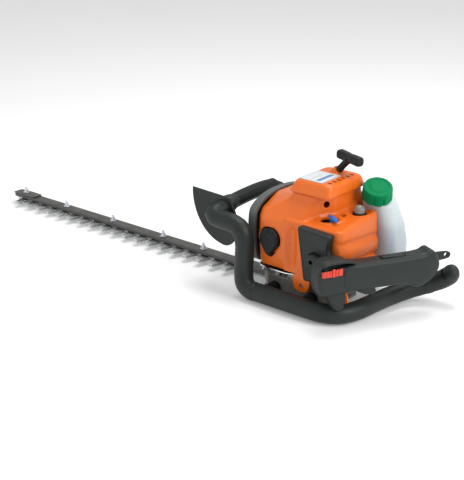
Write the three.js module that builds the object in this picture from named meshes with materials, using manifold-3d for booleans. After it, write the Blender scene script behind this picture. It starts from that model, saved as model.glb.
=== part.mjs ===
// A petrol hedge trimmer with a one-sided cutter bar, built as separate solids in millimetres.
//
// The frame: +Z is up and Z = 0 is the ground that the machine lies on. The cutter bar runs
// towards -X and its teeth point towards -Y. The origin is on the axis of the drive gear that
// works the blades, in the flat underside of the gear case. The engine's crankshaft is upright.
import * as THREE from "three";
import { mergeVertices } from "three/addons/utils/BufferGeometryUtils.js";
import Module from "manifold-3d";

const wasm = await Module();
wasm.setup();

// ---------------------------------------------------------------- Driving dimensions
const CLEAR = 0.4; // gap between two pieces that are fixed together
const RUNNING = 0.5; // gap between two pieces that move past each other
const ROUND = 20; // sides of a plain round piece

// Cutter: two combs that slide against each other under a stiff guide bar
const PITCH = 28;
const TOOTH_COUNT = 20;
const FIRST_TOOTH_X = -105;
const TOOTH_TIP_Y = -29;
const TOOTH_TIP_WIDTH = 8;
const TOOTH_ROOT_WIDTH = 17;
const BLADE_FRONT_Y = -9;
const BLADE_BACK_Y = 9;
const BLADE_THICK = 2.5;
const BLADE_STROKE = PITCH / 2; // each blade travels this far, in opposite directions
const LOWER_BLADE_Z = 7;
const UPPER_BLADE_Z = LOWER_BLADE_Z + BLADE_THICK + CLEAR;
const BAR_Z = UPPER_BLADE_Z + BLADE_THICK + CLEAR;
const BAR_THICK = 6;
const BAR_WIDTH = 20;
const BAR_ROOT_WIDTH = 28;
const BAR_ROOT_X = -112;
const BAR_TIP_X = -664;
const BAR_CHAMFER = 4;
const END_PLATE_LENGTH = 52;
const END_PLATE_THICK = 2.5;
const BOLT_R = 2.5;
const BOLT_HEAD_R = 5;
const BOLT_HEAD_THICK = 2.6;
const BOLT_STAND = 5; // how far a bolt stands out of its nut
const NUT_R = 4.6;
const NUT_FLANGE_R = 6;
const NUT_HEIGHT = 5;
const END_BOLT_INSET = 21; // from the tip of the bar back to its last bolt
const BOLT_XS = [-201, -291, -411, -531, BAR_TIP_X + END_BOLT_INSET];

// Gear case and the gear pair
const CASE_COVER_THICK = 5;
const CASE_TOP_Z = 34;
const CASE_WALL = 5;
const GEAR_MODULE = 1.25;
const PINION_TEETH = 11;
const GEAR_TEETH = 45;
const GEAR_THICK = 8;
const GEAR_CLEAR = 2;
const TOOTH_BACKLASH = 0.35;
const GEAR_Z = BAR_Z + 1.5;
const GEAR_SHAFT_R = 4;
const ECCENTRIC_R = 8.5;
const ECCENTRIC_OFFSET = BLADE_STROKE / 2;
const YOKE_WALL = 4;
const CRANK_ANGLE = 0.6435; // direction from the gear to the crankshaft, about +Z from +X
const GEAR_CENTRES = (GEAR_MODULE * (PINION_TEETH + GEAR_TEETH)) / 2;
const CRANK_X = GEAR_CENTRES * Math.cos(CRANK_ANGLE);
const CRANK_Y = GEAR_CENTRES * Math.sin(CRANK_ANGLE);

// Clutch and its bell
const BELL_R = 35;
const BELL_WALL = 3;
const BELL_TOP_Z = 58;
const DRUM_R = 27;
const DRUM_WALL = 2.5;
const DRUM_HEIGHT = 14;
const CLUTCH_R = DRUM_R - DRUM_WALL - 1.5;
const CLUTCH_THICK = 9;

// Crankcase, crank, rod, piston, cylinder
const BORE_R = 17;
const STROKE = 20;
const THROW = STROKE / 2;
const ROD_LENGTH = 38;
const ROD_THICK = 9;
const ROD_EYE_R = 8.5;
const ROD_SMALL_EYE_R = 4.5;
const ROD_SWEEP = 4; // how far the big end swings out past the webs, with its clearance
const CRANK_PIN_R = 5;
const WRIST_PIN_R = 2.2;
const PIN_END_GAP = 0.5; // the crank pin stops short of the webs, so the linkage is open here
const WEB_R = 20;
const WEB_THICK = 8;
const WEB_GAP = 1;
const CRANK_Z = 82; // height of the cylinder's axis
const SHAFT_R = 6;
const CASE_R = 29;
const CRANKCASE_WALL = 5;
const CRANKCASE_TOP_Z = CRANK_Z + 24;
const PISTON_LENGTH = 16;
const PISTON_CROWN = 9; // wrist pin to crown
const CROWN_THICK = 3.5;
const PISTON_CLEAR = 0.3;
const CYLINDER_ANGLE = -2.2143; // the cylinder points to -X and -Y
const CYLINDER_WALL = 3;
const CYLINDER_HEAD = 6;
const FIN_R = 23.5;
const FIN_THICK = 1.6;
const FIN_COUNT = 5;
const PLUG_R = 4.5;
const PLUG_LENGTH = 26;
const BOOT_R = 8;
const BOOT_DEPTH = 8;

// Flywheel and recoil starter
const FLYWHEEL_R = 35;
const FLYWHEEL_Z = 108;
const FLYWHEEL_THICK = 8;
const FAN_BLADES = 12;
const FAN_HEIGHT = 10;
const PULLEY_Z = 150;
const PULLEY_R = 22;
const PULLEY_THICK = 9;
const ROPE_R = 1.8;

// Orange covers
const COVER_WALL = 2.5;
const COVER_X0 = -57;
const COVER_X1 = 105; // the bay's widest place
const COVER_DECK_X1 = 98;
const COVER_Y0 = -50;
const COVER_Y1 = 88;
const COVER_Z0 = 50;
const COVER_EAVES_Z = 130; // top of the near wall
const COVER_RIDGE_Z = 148; // top of the main roof
const COVER_TOP_Z = 166; // where the starter housing begins
const HOOD_X1 = 24; // the hood over the cylinder ends here, and the deck begins
const DECK_Y1 = 44;
const DECK_NEAR_Z = 131;
const DECK_FAR_Z = 141;
const STARTER_X0 = -8;
const STARTER_X1 = 60;
const STARTER_Y0 = -27;
const STARTER_Y1 = 66;
const STARTER_TOP_Z = 185;
const FRONT_COVER_DEPTH = 18;
const LUG_X = 33;
const LUG_Z = 26;

// Air filter cover on the near side
const FILTER_X0 = 31;
const FILTER_X1 = 88;
const FILTER_Z0 = 50;
const FILTER_Z1 = 130;
const FILTER_DEPTH = 12;
const KNOB_R = 11;
const KNOB_LENGTH = 9;
const KNOB_X = 63;
const KNOB_Z = 86;

// Fuel tank
const TANK_X0 = 62;
const TANK_X1 = 122;
const TANK_Y0 = 48;
const TANK_Y1 = 107;
const TANK_Z0 = 36;
const TANK_Z1 = 172;
const TANK_CORNER_R = 20;
const TANK_WALL = 2;
const NECK_TILT = 0.42; // the filler leans towards the near right side
const NECK_X = 85;
const NECK_Y = 61;
const NECK_Z = 155;
const NECK_R = 18;
const NECK_HEIGHT = 12;
const CAP_R = 22;
const CAP_HEIGHT = 17;
const CAP_WALL = 2.5;
const SEAL_THICK = 2;

// Handles: one round section for the loop and the frame
const TUBE_R = 14.5;
const NEAR_Y = -74;
const LOW_Z = TUBE_R + 0.8; // centre height of the runs on the ground
const RISE_X = -60;
const RUN_Z = 108;
const GRIP_X = -116;
const GRIP_Z = 126;
const FAR_Y = 104;
const CORE_R = 9.5; // the loop is thinner under the grip's sleeve
const SLEEVE_WALL = 2.5;
const GUARD_Y = -50;
const GUARD_THICK = 4;
const FRAME_X = 119;

// Rear handle, in its own frame: U runs along the grip, V across it
const HANDLE_X = 109;
const HANDLE_Y = -62;
const HANDLE_Z = 4;
const HANDLE_ANGLE = 1.089;
const HANDLE_HALF = 15;
const HANDLE_WALL = 3;
const GRIP_BOTTOM = 47;
const GRIP_TOP = 89;

// ---------------------------------------------------------------- Materials
const finish = (colour, roughness, metalness = 0) =>
  new THREE.MeshStandardMaterial({ color: colour, roughness, metalness });
const ORANGE = finish(0xe8651f, 0.35);
const DARK = finish(0x3a4442, 0.6);
const RUBBER = finish(0x232b2a, 0.75);
const TANK_WHITE = finish(0xd5dcdd, 0.35);
const GREEN = finish(0x0a9e5c, 0.35);
const BLUE = finish(0x1565b5, 0.3);
const RED = finish(0xd8402f, 0.35);
const STEEL = finish(0xc9d2d2, 0.3, 0.9);
const DARK_STEEL = finish(0x55595a, 0.45, 0.7);
const ALLOY = finish(0x77706a, 0.55, 0.6);
const FOAM = finish(0x4a4a48, 0.95);
const CLEAR_PLASTIC = finish(0xd9cfc6, 0.2);
const ROPE = finish(0xe8e6df, 0.9);

// ---------------------------------------------------------------- Solid helpers

/** A closed three.js geometry as a manifold-3d solid. */
function toSolid(geometry) {
  const bare = geometry.index ? geometry.toNonIndexed() : geometry.clone();
  bare.deleteAttribute("normal");
  bare.deleteAttribute("uv");
  const merged = mergeVertices(bare, 1e-3);
  return new wasm.Manifold(
    new wasm.Mesh({
      numProp: 3,
      vertProperties: merged.attributes.position.array,
      triVerts: new Uint32Array(merged.index.array),
    }),
  );
}

/** A manifold-3d solid as a three.js geometry. */
function toGeometry(solid) {
  const mesh = solid.getMesh();
  const flat = new Float32Array(mesh.numVert * 3);
  for (let i = 0; i < mesh.numVert; i++) {
    const start = i * mesh.numProp;
    flat.set(mesh.vertProperties.subarray(start, start + 3), i * 3);
  }
  return new THREE.BufferGeometry()
    .setAttribute("position", new THREE.BufferAttribute(flat, 3))
    .setIndex(new THREE.BufferAttribute(mesh.triVerts, 1));
}

const cut = (body, ...tools) =>
  toGeometry(tools.reduce((rest, tool) => rest.subtract(toSolid(tool)), toSolid(body)));
const join = (body, ...others) =>
  toGeometry(others.reduce((rest, other) => rest.add(toSolid(other)), toSolid(body)));

/** A box between two corners. */
function box(x0, x1, y0, y1, z0, z1) {
  return new THREE.BoxGeometry(x1 - x0, y1 - y0, z1 - z0).translate(
    (x0 + x1) / 2,
    (y0 + y1) / 2,
    (z0 + z1) / 2,
  );
}


/** An upright cylinder from z0 to z1. */
function post(radius, z0, z1, x = 0, y = 0, sides = ROUND) {
  return new THREE.CylinderGeometry(radius, radius, z1 - z0, sides)
    .rotateX(Math.PI / 2)
    .translate(x, y, (z0 + z1) / 2);
}

/** A cylinder from one point to another. */
function rod(radius, from, to, sides = ROUND) {
  const start = new THREE.Vector3(...from);
  const along = new THREE.Vector3(...to).sub(start);
  const turn = new THREE.Quaternion().setFromUnitVectors(
    new THREE.Vector3(0, 1, 0),
    along.clone().normalize(),
  );
  return new THREE.CylinderGeometry(radius, radius, along.length(), sides)
    .applyQuaternion(turn)
    .translate(...start.addScaledVector(along, 0.5).toArray());
}

const shapeOf = (points) => new THREE.Shape(points.map(([x, y]) => new THREE.Vector2(x, y)));

/** An XY outline, raised from z0 to z1. */
function slab(shape, z0, z1, bevel = 0) {
  const settings = {
    depth: z1 - z0 - 2 * bevel,
    bevelEnabled: bevel > 0,
    bevelSize: bevel,
    bevelThickness: bevel,
    bevelOffset: -bevel,
    bevelSegments: 1,
    curveSegments: 5,
  };
  return new THREE.ExtrudeGeometry(shape, settings).translate(0, 0, z0 + bevel);
}

/** An outline of (y, z) points, drawn along X from x0 to x1. */
const alongX = (points, x0, x1, bevel = 0) =>
  slab(shapeOf(points), x0, x1, bevel).applyMatrix4(
    new THREE.Matrix4().set(0, 0, 1, 0, 1, 0, 0, 0, 0, 1, 0, 0, 0, 0, 0, 1),
  );

/** An outline of (x, z) points, drawn along Y from y0 to y1. */
const alongY = (points, y0, y1, bevel = 0) =>
  slab(shapeOf(points), -y1, -y0, bevel).rotateX(Math.PI / 2);

/** A rectangle with round corners, as an XY shape. */
function roundedRect(x0, x1, y0, y1, r) {
  return new THREE.Shape()
    .moveTo(x0 + r, y0)
    .lineTo(x1 - r, y0)
    .absarc(x1 - r, y0 + r, r, -Math.PI / 2, 0)
    .lineTo(x1, y1 - r)
    .absarc(x1 - r, y1 - r, r, 0, Math.PI / 2)
    .lineTo(x0 + r, y1)
    .absarc(x0 + r, y1 - r, r, Math.PI / 2, Math.PI)
    .lineTo(x0, y0 + r)
    .absarc(x0 + r, y0 + r, r, Math.PI, Math.PI * 1.5);
}

/** A slot along X, as a solid from z0 to z1. */
function slot(x, length, radius, z0, z1) {
  const half = length / 2 - radius;
  const shape = new THREE.Shape()
    .absarc(x + half, 0, radius, -Math.PI / 2, Math.PI / 2)
    .absarc(x - half, 0, radius, Math.PI / 2, Math.PI * 1.5);
  return slab(shape, z0, z1);
}

/** A round tube section drawn along a smooth curve through the points. */
function tube(points, radius, sides, steps) {
  const path = new THREE.CatmullRomCurve3(
    points.map((p) => new THREE.Vector3(...p)),
    false,
    "centripetal",
  );
  const section = new THREE.Shape();
  for (let i = 0; i < sides; i++) {
    const angle = (2 * Math.PI * i) / sides;
    const move = i ? "lineTo" : "moveTo";
    section[move](radius * Math.cos(angle), radius * Math.sin(angle));
  }
  return new THREE.ExtrudeGeometry(section, {
    steps,
    extrudePath: path,
    bevelEnabled: false,
  });
}

/** A closed solid through rings of points that run anticlockwise seen from the last ring. */
function skin(rings) {
  const n = rings[0].length;
  const points = rings.flat();
  const faces = [];
  for (let i = 0; i < rings.length - 1; i++)
    for (let j = 0; j < n; j++) {
      const a = i * n + j;
      const b = i * n + ((j + 1) % n);
      faces.push(a, b, b + n, a, b + n, a + n);
    }
  const last = (rings.length - 1) * n;
  for (const [start, flip] of [
    [0, true],
    [last, false],
  ]) {
    const centre = points.length;
    const sum = [0, 1, 2].map(
      (k) => points.slice(start, start + n).reduce((total, p) => total + p[k], 0) / n,
    );
    points.push(sum);
    for (let j = 0; j < n; j++) {
      const a = start + j;
      const b = start + ((j + 1) % n);
      faces.push(centre, flip ? b : a, flip ? a : b);
    }
  }
  return new THREE.BufferGeometry()
    .setAttribute("position", new THREE.Float32BufferAttribute(points.flat(), 3))
    .setIndex(faces);
}

/** A level ring round a rectangle with round corners. */
function levelRing(x0, x1, y0, y1, r, z, steps = 3) {
  const corners = [
    [x1 - r, y1 - r],
    [x0 + r, y1 - r],
    [x0 + r, y0 + r],
    [x1 - r, y0 + r],
  ];
  return corners.flatMap(([x, y], quarter) =>
    Array.from({ length: steps + 1 }, (_, i) => {
      const angle = (quarter + i / steps) * (Math.PI / 2);
      return [x + r * Math.cos(angle), y + r * Math.sin(angle), z];
    }),
  );
}

/** A tube along a smooth curve whose radius follows radiusAt(share of the length). */
function sweep(points, radiusAt, sides, steps) {
  const path = new THREE.CatmullRomCurve3(
    points.map((p) => new THREE.Vector3(...p)),
    false,
    "centripetal",
  );
  const frames = path.computeFrenetFrames(steps);
  const rings = [];
  for (let i = 0; i <= steps; i++) {
    const centre = path.getPointAt(i / steps);
    const radius = radiusAt(i / steps);
    rings.push(
      Array.from({ length: sides }, (_, j) => {
        const angle = (2 * Math.PI * j) / sides;
        return centre
          .clone()
          .addScaledVector(frames.normals[i], radius * Math.cos(angle))
          .addScaledVector(frames.binormals[i], radius * Math.sin(angle))
          .toArray();
      }),
    );
  }
  return skin(rings);
}

const model = new THREE.Group();

/** Adds one named piece to a group. */
function add(name, geometry, material, parent = model) {
  const mesh = new THREE.Mesh(geometry, material);
  mesh.name = name;
  parent.add(mesh);
  return mesh;
}

// ---------------------------------------------------------------- Cutter bar

/** A window this wide lets the blades and the eccentrics be placed freely of each other. */
const yokeWindowR = () => ECCENTRIC_R + 2 * ECCENTRIC_OFFSET + RUNNING;

/** One comb: a spine with teeth, a slot at each bar bolt and a yoke ring at the gear. */
function blade(z0) {
  const z1 = z0 + BLADE_THICK;
  const tipX = BAR_TIP_X + BLADE_STROKE / 2 + CLEAR;
  const outline = [
    [0, BLADE_BACK_Y],
    [tipX, BLADE_BACK_Y],
    [tipX, BLADE_FRONT_Y],
  ];
  for (let i = TOOTH_COUNT - 1; i >= 0; i--) {
    const x = FIRST_TOOTH_X - i * PITCH;
    outline.push(
      [x - TOOTH_ROOT_WIDTH / 2, BLADE_FRONT_Y],
      [x - TOOTH_TIP_WIDTH / 2, TOOTH_TIP_Y],
      [x + TOOTH_TIP_WIDTH / 2, TOOTH_TIP_Y],
      [x + TOOTH_ROOT_WIDTH / 2, BLADE_FRONT_Y],
    );
  }
  outline.push([0, BLADE_FRONT_Y]);
  const windowR = yokeWindowR();
  const body = join(slab(shapeOf(outline), z0, z1), post(windowR + YOKE_WALL, z0, z1));
  const slotLength = 2 * (BOLT_R + BLADE_STROKE / 2 + RUNNING);
  const slots = BOLT_XS.map((x) => slot(x, slotLength, BOLT_R + RUNNING, z0 - 1, z1 + 1));
  return cut(body, post(windowR, z0 - 1, z1 + 1), ...slots);
}

function guideBar() {
  const half = BAR_WIDTH / 2;
  const rootHalf = BAR_ROOT_WIDTH / 2;
  const rootEndX = barEndX();
  const outline = [
    [rootEndX, -rootHalf],
    [rootEndX, rootHalf],
    [BAR_ROOT_X, rootHalf],
    [BAR_ROOT_X - rootHalf, half],
    [BAR_TIP_X, half],
    [BAR_TIP_X, -half],
    [BAR_ROOT_X - rootHalf, -half],
    [BAR_ROOT_X, -rootHalf],
  ];
  const z1 = BAR_Z + BAR_THICK;
  const holes = BOLT_XS.map((x) => post(BOLT_R + CLEAR, BAR_Z - 1, z1 + 1, x, 0, 12));
  return cut(slab(shapeOf(outline), BAR_Z, z1, 0.8), ...holes);
}

function barEndPlate() {
  const z0 = BAR_Z + BAR_THICK + CLEAR;
  const half = BAR_WIDTH / 2;
  const innerX = BAR_TIP_X + END_PLATE_LENGTH;
  const outline = [
    [BAR_TIP_X - 2, -half - 1],
    [innerX - BAR_CHAMFER, -half - 1],
    [innerX, -half + BAR_CHAMFER],
    [innerX, half],
    [BAR_TIP_X + BAR_CHAMFER, half],
    [BAR_TIP_X - 2, half - BAR_CHAMFER],
  ];
  const x = BOLT_XS[BOLT_XS.length - 1];
  const z1 = z0 + END_PLATE_THICK;
  return cut(slab(shapeOf(outline), z0, z1), post(BOLT_R + CLEAR, z0 - 1, z1 + 1, x, 0, 12));
}

/** Height of the face that a bar nut sits on: the last one clamps the end plate as well. */
const nutSeatZ = (i) =>
  BAR_Z + BAR_THICK + CLEAR + (i === BOLT_XS.length - 1 ? END_PLATE_THICK + CLEAR : 0);

function barBolt(i) {
  const headZ1 = LOWER_BLADE_Z - CLEAR;
  const top = nutSeatZ(i) + NUT_HEIGHT + BOLT_STAND;
  const head = post(BOLT_HEAD_R, headZ1 - BOLT_HEAD_THICK, headZ1, BOLT_XS[i], 0, 12);
  return join(head, post(BOLT_R, headZ1 - 1, top, BOLT_XS[i], 0, 12));
}

function barNut(i) {
  const z0 = nutSeatZ(i);
  const x = BOLT_XS[i];
  const body = join(
    post(NUT_FLANGE_R, z0, z0 + 1.2, x, 0, 12),
    post(NUT_R, z0, z0 + NUT_HEIGHT, x, 0, 6),
  );
  return cut(body, post(BOLT_R + CLEAR, z0 - 1, z0 + NUT_HEIGHT + 1, x, 0, 12));
}

// ---------------------------------------------------------------- Gear case

const gearTipR = () => (GEAR_MODULE * (GEAR_TEETH + 2)) / 2;
const pinionTipR = () => (GEAR_MODULE * (PINION_TEETH + 2)) / 2;
const caseFrontX = () => -(gearTipR() + GEAR_CLEAR + CASE_WALL + 22);
const barEndX = () => -(gearTipR() + GEAR_CLEAR + 2);

/** Plan outline of the gear case: a broad body with a neck round the bar's root. */
function caseOutline(inset = 0) {
  const neckHalf = BAR_ROOT_WIDTH / 2 + 6 - inset;
  const nearY = -(gearTipR() + GEAR_CLEAR + CASE_WALL + 3) + inset;
  const farY = CRANK_Y + BELL_R + 6 - inset;
  const rightX = CRANK_X + BELL_R + 8 - inset;
  const frontX = caseFrontX() + inset;
  return shapeOf([
    [frontX, -neckHalf],
    [frontX + 22, nearY],
    [rightX - 14, nearY],
    [rightX, nearY + 16],
    [rightX, farY - 22],
    [rightX - 22, farY],
    [-8, farY],
    [frontX + 20, neckHalf + 12],
    [frontX, neckHalf],
  ]);
}

function gearCaseCover() {
  return slab(caseOutline(), 0, CASE_COVER_THICK, 1);
}

function gearCase() {
  const z0 = CASE_COVER_THICK + CLEAR;
  const body = slab(caseOutline(), z0, CASE_TOP_Z, 1.5);
  const yokeR = yokeWindowR() + YOKE_WALL + RUNNING;
  const reach = yokeR + BLADE_STROKE / 2;
  const bladeTop = UPPER_BLADE_Z + BLADE_THICK + RUNNING;
  const yokeSpace = box(caseFrontX() - 1, reach, -yokeR, yokeR, z0 - 1, bladeTop);
  const barHalf = BAR_ROOT_WIDTH / 2 + CLEAR;
  const barTop = BAR_Z + BAR_THICK + CLEAR;
  const barSpace = box(caseFrontX() - 1, barEndX() + 3, -barHalf, barHalf, z0 - 1, barTop);
  const gearTop = GEAR_Z + GEAR_THICK + RUNNING;
  const gearSpace = post(gearTipR() + GEAR_CLEAR, z0 - 1, gearTop, 0, 0, 28);
  const pinionSpace = post(
    pinionTipR() + GEAR_CLEAR,
    GEAR_Z - RUNNING,
    CASE_TOP_Z + 1,
    CRANK_X,
    CRANK_Y,
  );
  const bearing = post(GEAR_SHAFT_R + RUNNING, z0, CASE_TOP_Z - 4);
  return cut(body, yokeSpace, barSpace, gearSpace, pinionSpace, bearing);
}

/** Outline of a spur gear with straight-flanked teeth; one tooth lies on the start angle. */
function gearShape(teeth, start) {
  const pitchR = (GEAR_MODULE * teeth) / 2;
  const tipR = pitchR + GEAR_MODULE;
  const rootR = pitchR - 1.25 * GEAR_MODULE;
  const step = (2 * Math.PI) / teeth;
  const thin = TOOTH_BACKLASH / pitchR / 2;
  const corners = [
    [rootR, -0.36 * step + thin],
    [tipR, -0.12 * step + thin],
    [tipR, 0.12 * step - thin],
    [rootR, 0.36 * step - thin],
  ];
  const points = [];
  for (let i = 0; i < teeth; i++)
    for (const [radius, offset] of corners) {
      const angle = start + i * step + offset;
      points.push([radius * Math.cos(angle), radius * Math.sin(angle)]);
    }
  return shapeOf(points);
}

/** The 45-tooth gear with its two eccentrics, one for each blade, and its shaft. */
function driveGear() {
  const z1 = GEAR_Z + GEAR_THICK;
  const wheel = slab(gearShape(GEAR_TEETH, CRANK_ANGLE), GEAR_Z, z1);
  const lowerZ1 = LOWER_BLADE_Z + BLADE_THICK;
  const lower = post(ECCENTRIC_R, LOWER_BLADE_Z, lowerZ1 + 1, 0, -ECCENTRIC_OFFSET);
  const upper = post(ECCENTRIC_R, UPPER_BLADE_Z, GEAR_Z + 1, 0, ECCENTRIC_OFFSET);
  const shaft = post(GEAR_SHAFT_R, CASE_COVER_THICK + RUNNING, CASE_TOP_Z - 5);
  return join(wheel, lower, upper, shaft);
}

/** The clutch drum: a cup that the shoes grip, with the 11-tooth pinion under it. */
function clutchDrum() {
  const drumZ0 = CASE_TOP_Z + 3;
  const drumZ1 = drumZ0 + DRUM_HEIGHT;
  const cup = cut(
    post(DRUM_R, drumZ0, drumZ1, 0, 0, 24),
    post(DRUM_R - DRUM_WALL, drumZ0 + DRUM_WALL, drumZ1 + 1, 0, 0, 24),
  );
  const halfTooth = Math.PI / PINION_TEETH;
  const pinion = slab(
    gearShape(PINION_TEETH, CRANK_ANGLE + Math.PI + halfTooth),
    GEAR_Z,
    drumZ0 + 1,
  );
  return join(cup, pinion).translate(CRANK_X, CRANK_Y, 0);
}

/** Hub, two shoes and their gap, on the lower end of the crankshaft. */
function clutchShoes() {
  const z0 = CASE_TOP_Z + 3 + DRUM_WALL + 1;
  const z1 = z0 + CLUTCH_THICK;
  const disc = post(CLUTCH_R, z0, z1, 0, 0, 24);
  const split = box(-CLUTCH_R - 1, CLUTCH_R + 1, -1.5, 1.5, z0 - 1, z1 + 1);
  const hub = post(11, z0, z1);
  const body = cut(join(cut(disc, split), hub), post(SHAFT_R + CLEAR, z0 - 1, z1 + 1));
  return body.translate(CRANK_X, CRANK_Y, 0);
}

/** The bell that carries the engine on the gear case, with the drum inside it. */
function clutchBell() {
  const z0 = CASE_TOP_Z + CLEAR;
  const outer = post(BELL_R, z0, BELL_TOP_Z, 0, 0, 24);
  const inner = post(BELL_R - BELL_WALL, z0 - 1, BELL_TOP_Z - BELL_WALL, 0, 0, 24);
  const shaftHole = post(SHAFT_R + 2, z0, BELL_TOP_Z + 1);
  return cut(outer, inner, shaftHole).translate(CRANK_X, CRANK_Y, 0);
}

// ---------------------------------------------------------------- Engine

const cylinderAxis = () => [Math.cos(CYLINDER_ANGLE), Math.sin(CYLINDER_ANGLE)];

/** A point at a distance along the cylinder's axis from the crankshaft, and to its side. */
function engineXY(along, aside = 0) {
  const [cx, cy] = cylinderAxis();
  return [CRANK_X + along * cx - aside * cy, CRANK_Y + along * cy + aside * cx];
}

/** A cylinder along the engine's cylinder axis. */
const axial = (radius, from, to, sides = ROUND, z = CRANK_Z) =>
  rod(radius, [...engineXY(from), z], [...engineXY(to), z], sides);

const crownAtTop = THROW + ROD_LENGTH + PISTON_CROWN;
const cylinderBase = WEB_R + 1.5;

function crankcase() {
  const outerR = CASE_R + CRANKCASE_WALL;
  const z0 = BELL_TOP_Z + CLEAR;
  const body = post(outerR, z0, CRANKCASE_TOP_Z, CRANK_X, CRANK_Y, 24);
  const half = WEB_THICK + WEB_GAP + ROD_THICK / 2 + 1;
  const space = post(WEB_R + ROD_SWEEP, CRANK_Z - half, CRANK_Z + half, CRANK_X, CRANK_Y, 24);
  const mouth = axial(BORE_R + CYLINDER_WALL + CLEAR, WEB_R - 6, outerR + 4);
  const shaft = post(SHAFT_R + CLEAR, z0 - 1, CRANKCASE_TOP_Z + 1, CRANK_X, CRANK_Y);
  return cut(body, space, mouth, shaft);
}

/** Half of the built-up crank: a web and its shaft. side is 1 above the rod, -1 below it. */
function crankHalf(side) {
  const inner = CRANK_Z + side * (ROD_THICK / 2 + WEB_GAP);
  const outer = inner + side * WEB_THICK;
  const upperEnd = FLYWHEEL_Z + FLYWHEEL_THICK + 8;
  const end = side > 0 ? upperEnd : CASE_TOP_Z + 3 + DRUM_WALL + 2;
  const between = (a, b) => [Math.min(a, b), Math.max(a, b), CRANK_X, CRANK_Y];
  return join(post(WEB_R, ...between(inner, outer), 24), post(SHAFT_R, ...between(inner, end)));
}

/** The connecting rod with the crank pin pressed into its big end. */
function connectingRod() {
  const z0 = CRANK_Z - ROD_THICK / 2;
  const z1 = CRANK_Z + ROD_THICK / 2;
  const big = engineXY(THROW);
  const small = engineXY(THROW + ROD_LENGTH);
  const shank = box(0, ROD_LENGTH, -3, 3, z0 + 1, z1 - 1)
    .rotateZ(CYLINDER_ANGLE)
    .translate(...big, 0);
  const body = join(
    post(ROD_EYE_R, z0, z1, ...big),
    post(ROD_SMALL_EYE_R, z0, z1, ...small, 16),
    shank,
  );
  const pinEnd = ROD_THICK / 2 + WEB_GAP - PIN_END_GAP;
  const crankPin = post(CRANK_PIN_R, CRANK_Z - pinEnd, CRANK_Z + pinEnd, ...big);
  const wristHole = post(WRIST_PIN_R + CLEAR, z0 - 1, z1 + 1, ...small, 12);
  return cut(join(body, crankPin), wristHole);
}

function piston() {
  const body = axial(BORE_R - PISTON_CLEAR, crownAtTop - PISTON_LENGTH, crownAtTop, 24);
  const hollowR = BORE_R - PISTON_CLEAR - 3.5;
  const hollow = axial(hollowR, crownAtTop - PISTON_LENGTH - 1, crownAtTop - CROWN_THICK);
  const pin = engineXY(crownAtTop - PISTON_CROWN);
  const wristPin = post(WRIST_PIN_R, CRANK_Z - hollowR - 1, CRANK_Z + hollowR + 1, ...pin, 12);
  return join(cut(body, hollow), wristPin);
}

function cylinder() {
  const outerR = BORE_R + CYLINDER_WALL;
  const headEnd = crownAtTop + 2 + CYLINDER_HEAD;
  const barrel = axial(outerR, cylinderBase, headEnd, 24);
  const finsFrom = CASE_R + CRANKCASE_WALL + 2;
  const finStep = (headEnd - finsFrom - FIN_THICK) / (FIN_COUNT - 1);
  const fins = [];
  for (let i = 0; i < FIN_COUNT; i++) {
    const at = finsFrom + i * finStep;
    fins.push(axial(FIN_R, at, at + FIN_THICK, 16));
  }
  const port = rod(
    9,
    [...engineXY(crownAtTop - 14, 10), CRANK_Z],
    [...engineXY(crownAtTop - 14, FIN_R + 4), CRANK_Z],
    12,
  );
  const exhaust = rod(
    9,
    [...engineXY(crownAtTop - 14, -10), CRANK_Z],
    [...engineXY(crownAtTop - 14, -FIN_R - 4), CRANK_Z],
    12,
  );
  const bore = axial(BORE_R, cylinderBase - 1, crownAtTop + 2, 24);
  const plugHole = axial(PLUG_R + CLEAR, crownAtTop, headEnd + 1, 12);
  return cut(join(barrel, ...fins, port, exhaust), bore, plugHole);
}

function sparkPlug() {
  const seat = crownAtTop + 2 + CYLINDER_HEAD + CLEAR;
  const thread = axial(PLUG_R, seat - 7, seat + 1, 12);
  const hex = axial(8, seat, seat + 7, 6);
  return join(thread, hex, axial(4, seat, seat + PLUG_LENGTH - 7, 12));
}

/** Teardrop outline of the boot's face in X and Z, grown by a margin. */
function bootOutline(margin = 0) {
  const [x] = engineXY(crownAtTop + 32);
  const points = [];
  for (let i = 0; i <= 12; i++) {
    const angle = -0.5 + (i / 12) * (Math.PI + 1);
    const r = 19 + margin;
    points.push([x + r * Math.cos(angle), CRANK_Z + 13 + r * Math.sin(angle)]);
  }
  points.push([x - 5 - margin, CRANK_Z - 10 - margin], [x + 4 + margin, CRANK_Z - 10 - margin]);
  return points;
}

/** The rubber boot: a sleeve over the plug under a teardrop face that covers the hole. */
function plugBoot() {
  const seat = crownAtTop + 2 + CYLINDER_HEAD + CLEAR;
  const from = seat + 8;
  const y1 = COVER_Y0 - CLEAR;
  const face = alongY(bootOutline(), y1 - BOOT_DEPTH, y1, 2.5);
  const sleeve = axial(BOOT_R, from, crownAtTop + 33, 16);
  return cut(join(face, sleeve), axial(4 + CLEAR, from - 1, seat + PLUG_LENGTH - 6, 12));
}

function flywheel() {
  const z1 = FLYWHEEL_Z + FLYWHEEL_THICK;
  const parts = [];
  for (let i = 0; i < FAN_BLADES; i++)
    parts.push(
      box(FLYWHEEL_R * 0.55, FLYWHEEL_R - 1, -1, 1, z1 - 1, z1 + FAN_HEIGHT).rotateZ(
        (2 * Math.PI * i) / FAN_BLADES,
      ),
    );
  const disc = post(FLYWHEEL_R, FLYWHEEL_Z, z1, 0, 0, 28);
  const body = join(disc, post(13, FLYWHEEL_Z, z1 + 4), ...parts);
  const bore = post(SHAFT_R + CLEAR, FLYWHEEL_Z - 1, z1 + 5);
  return cut(body, bore).translate(CRANK_X, CRANK_Y, 0);
}

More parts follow.
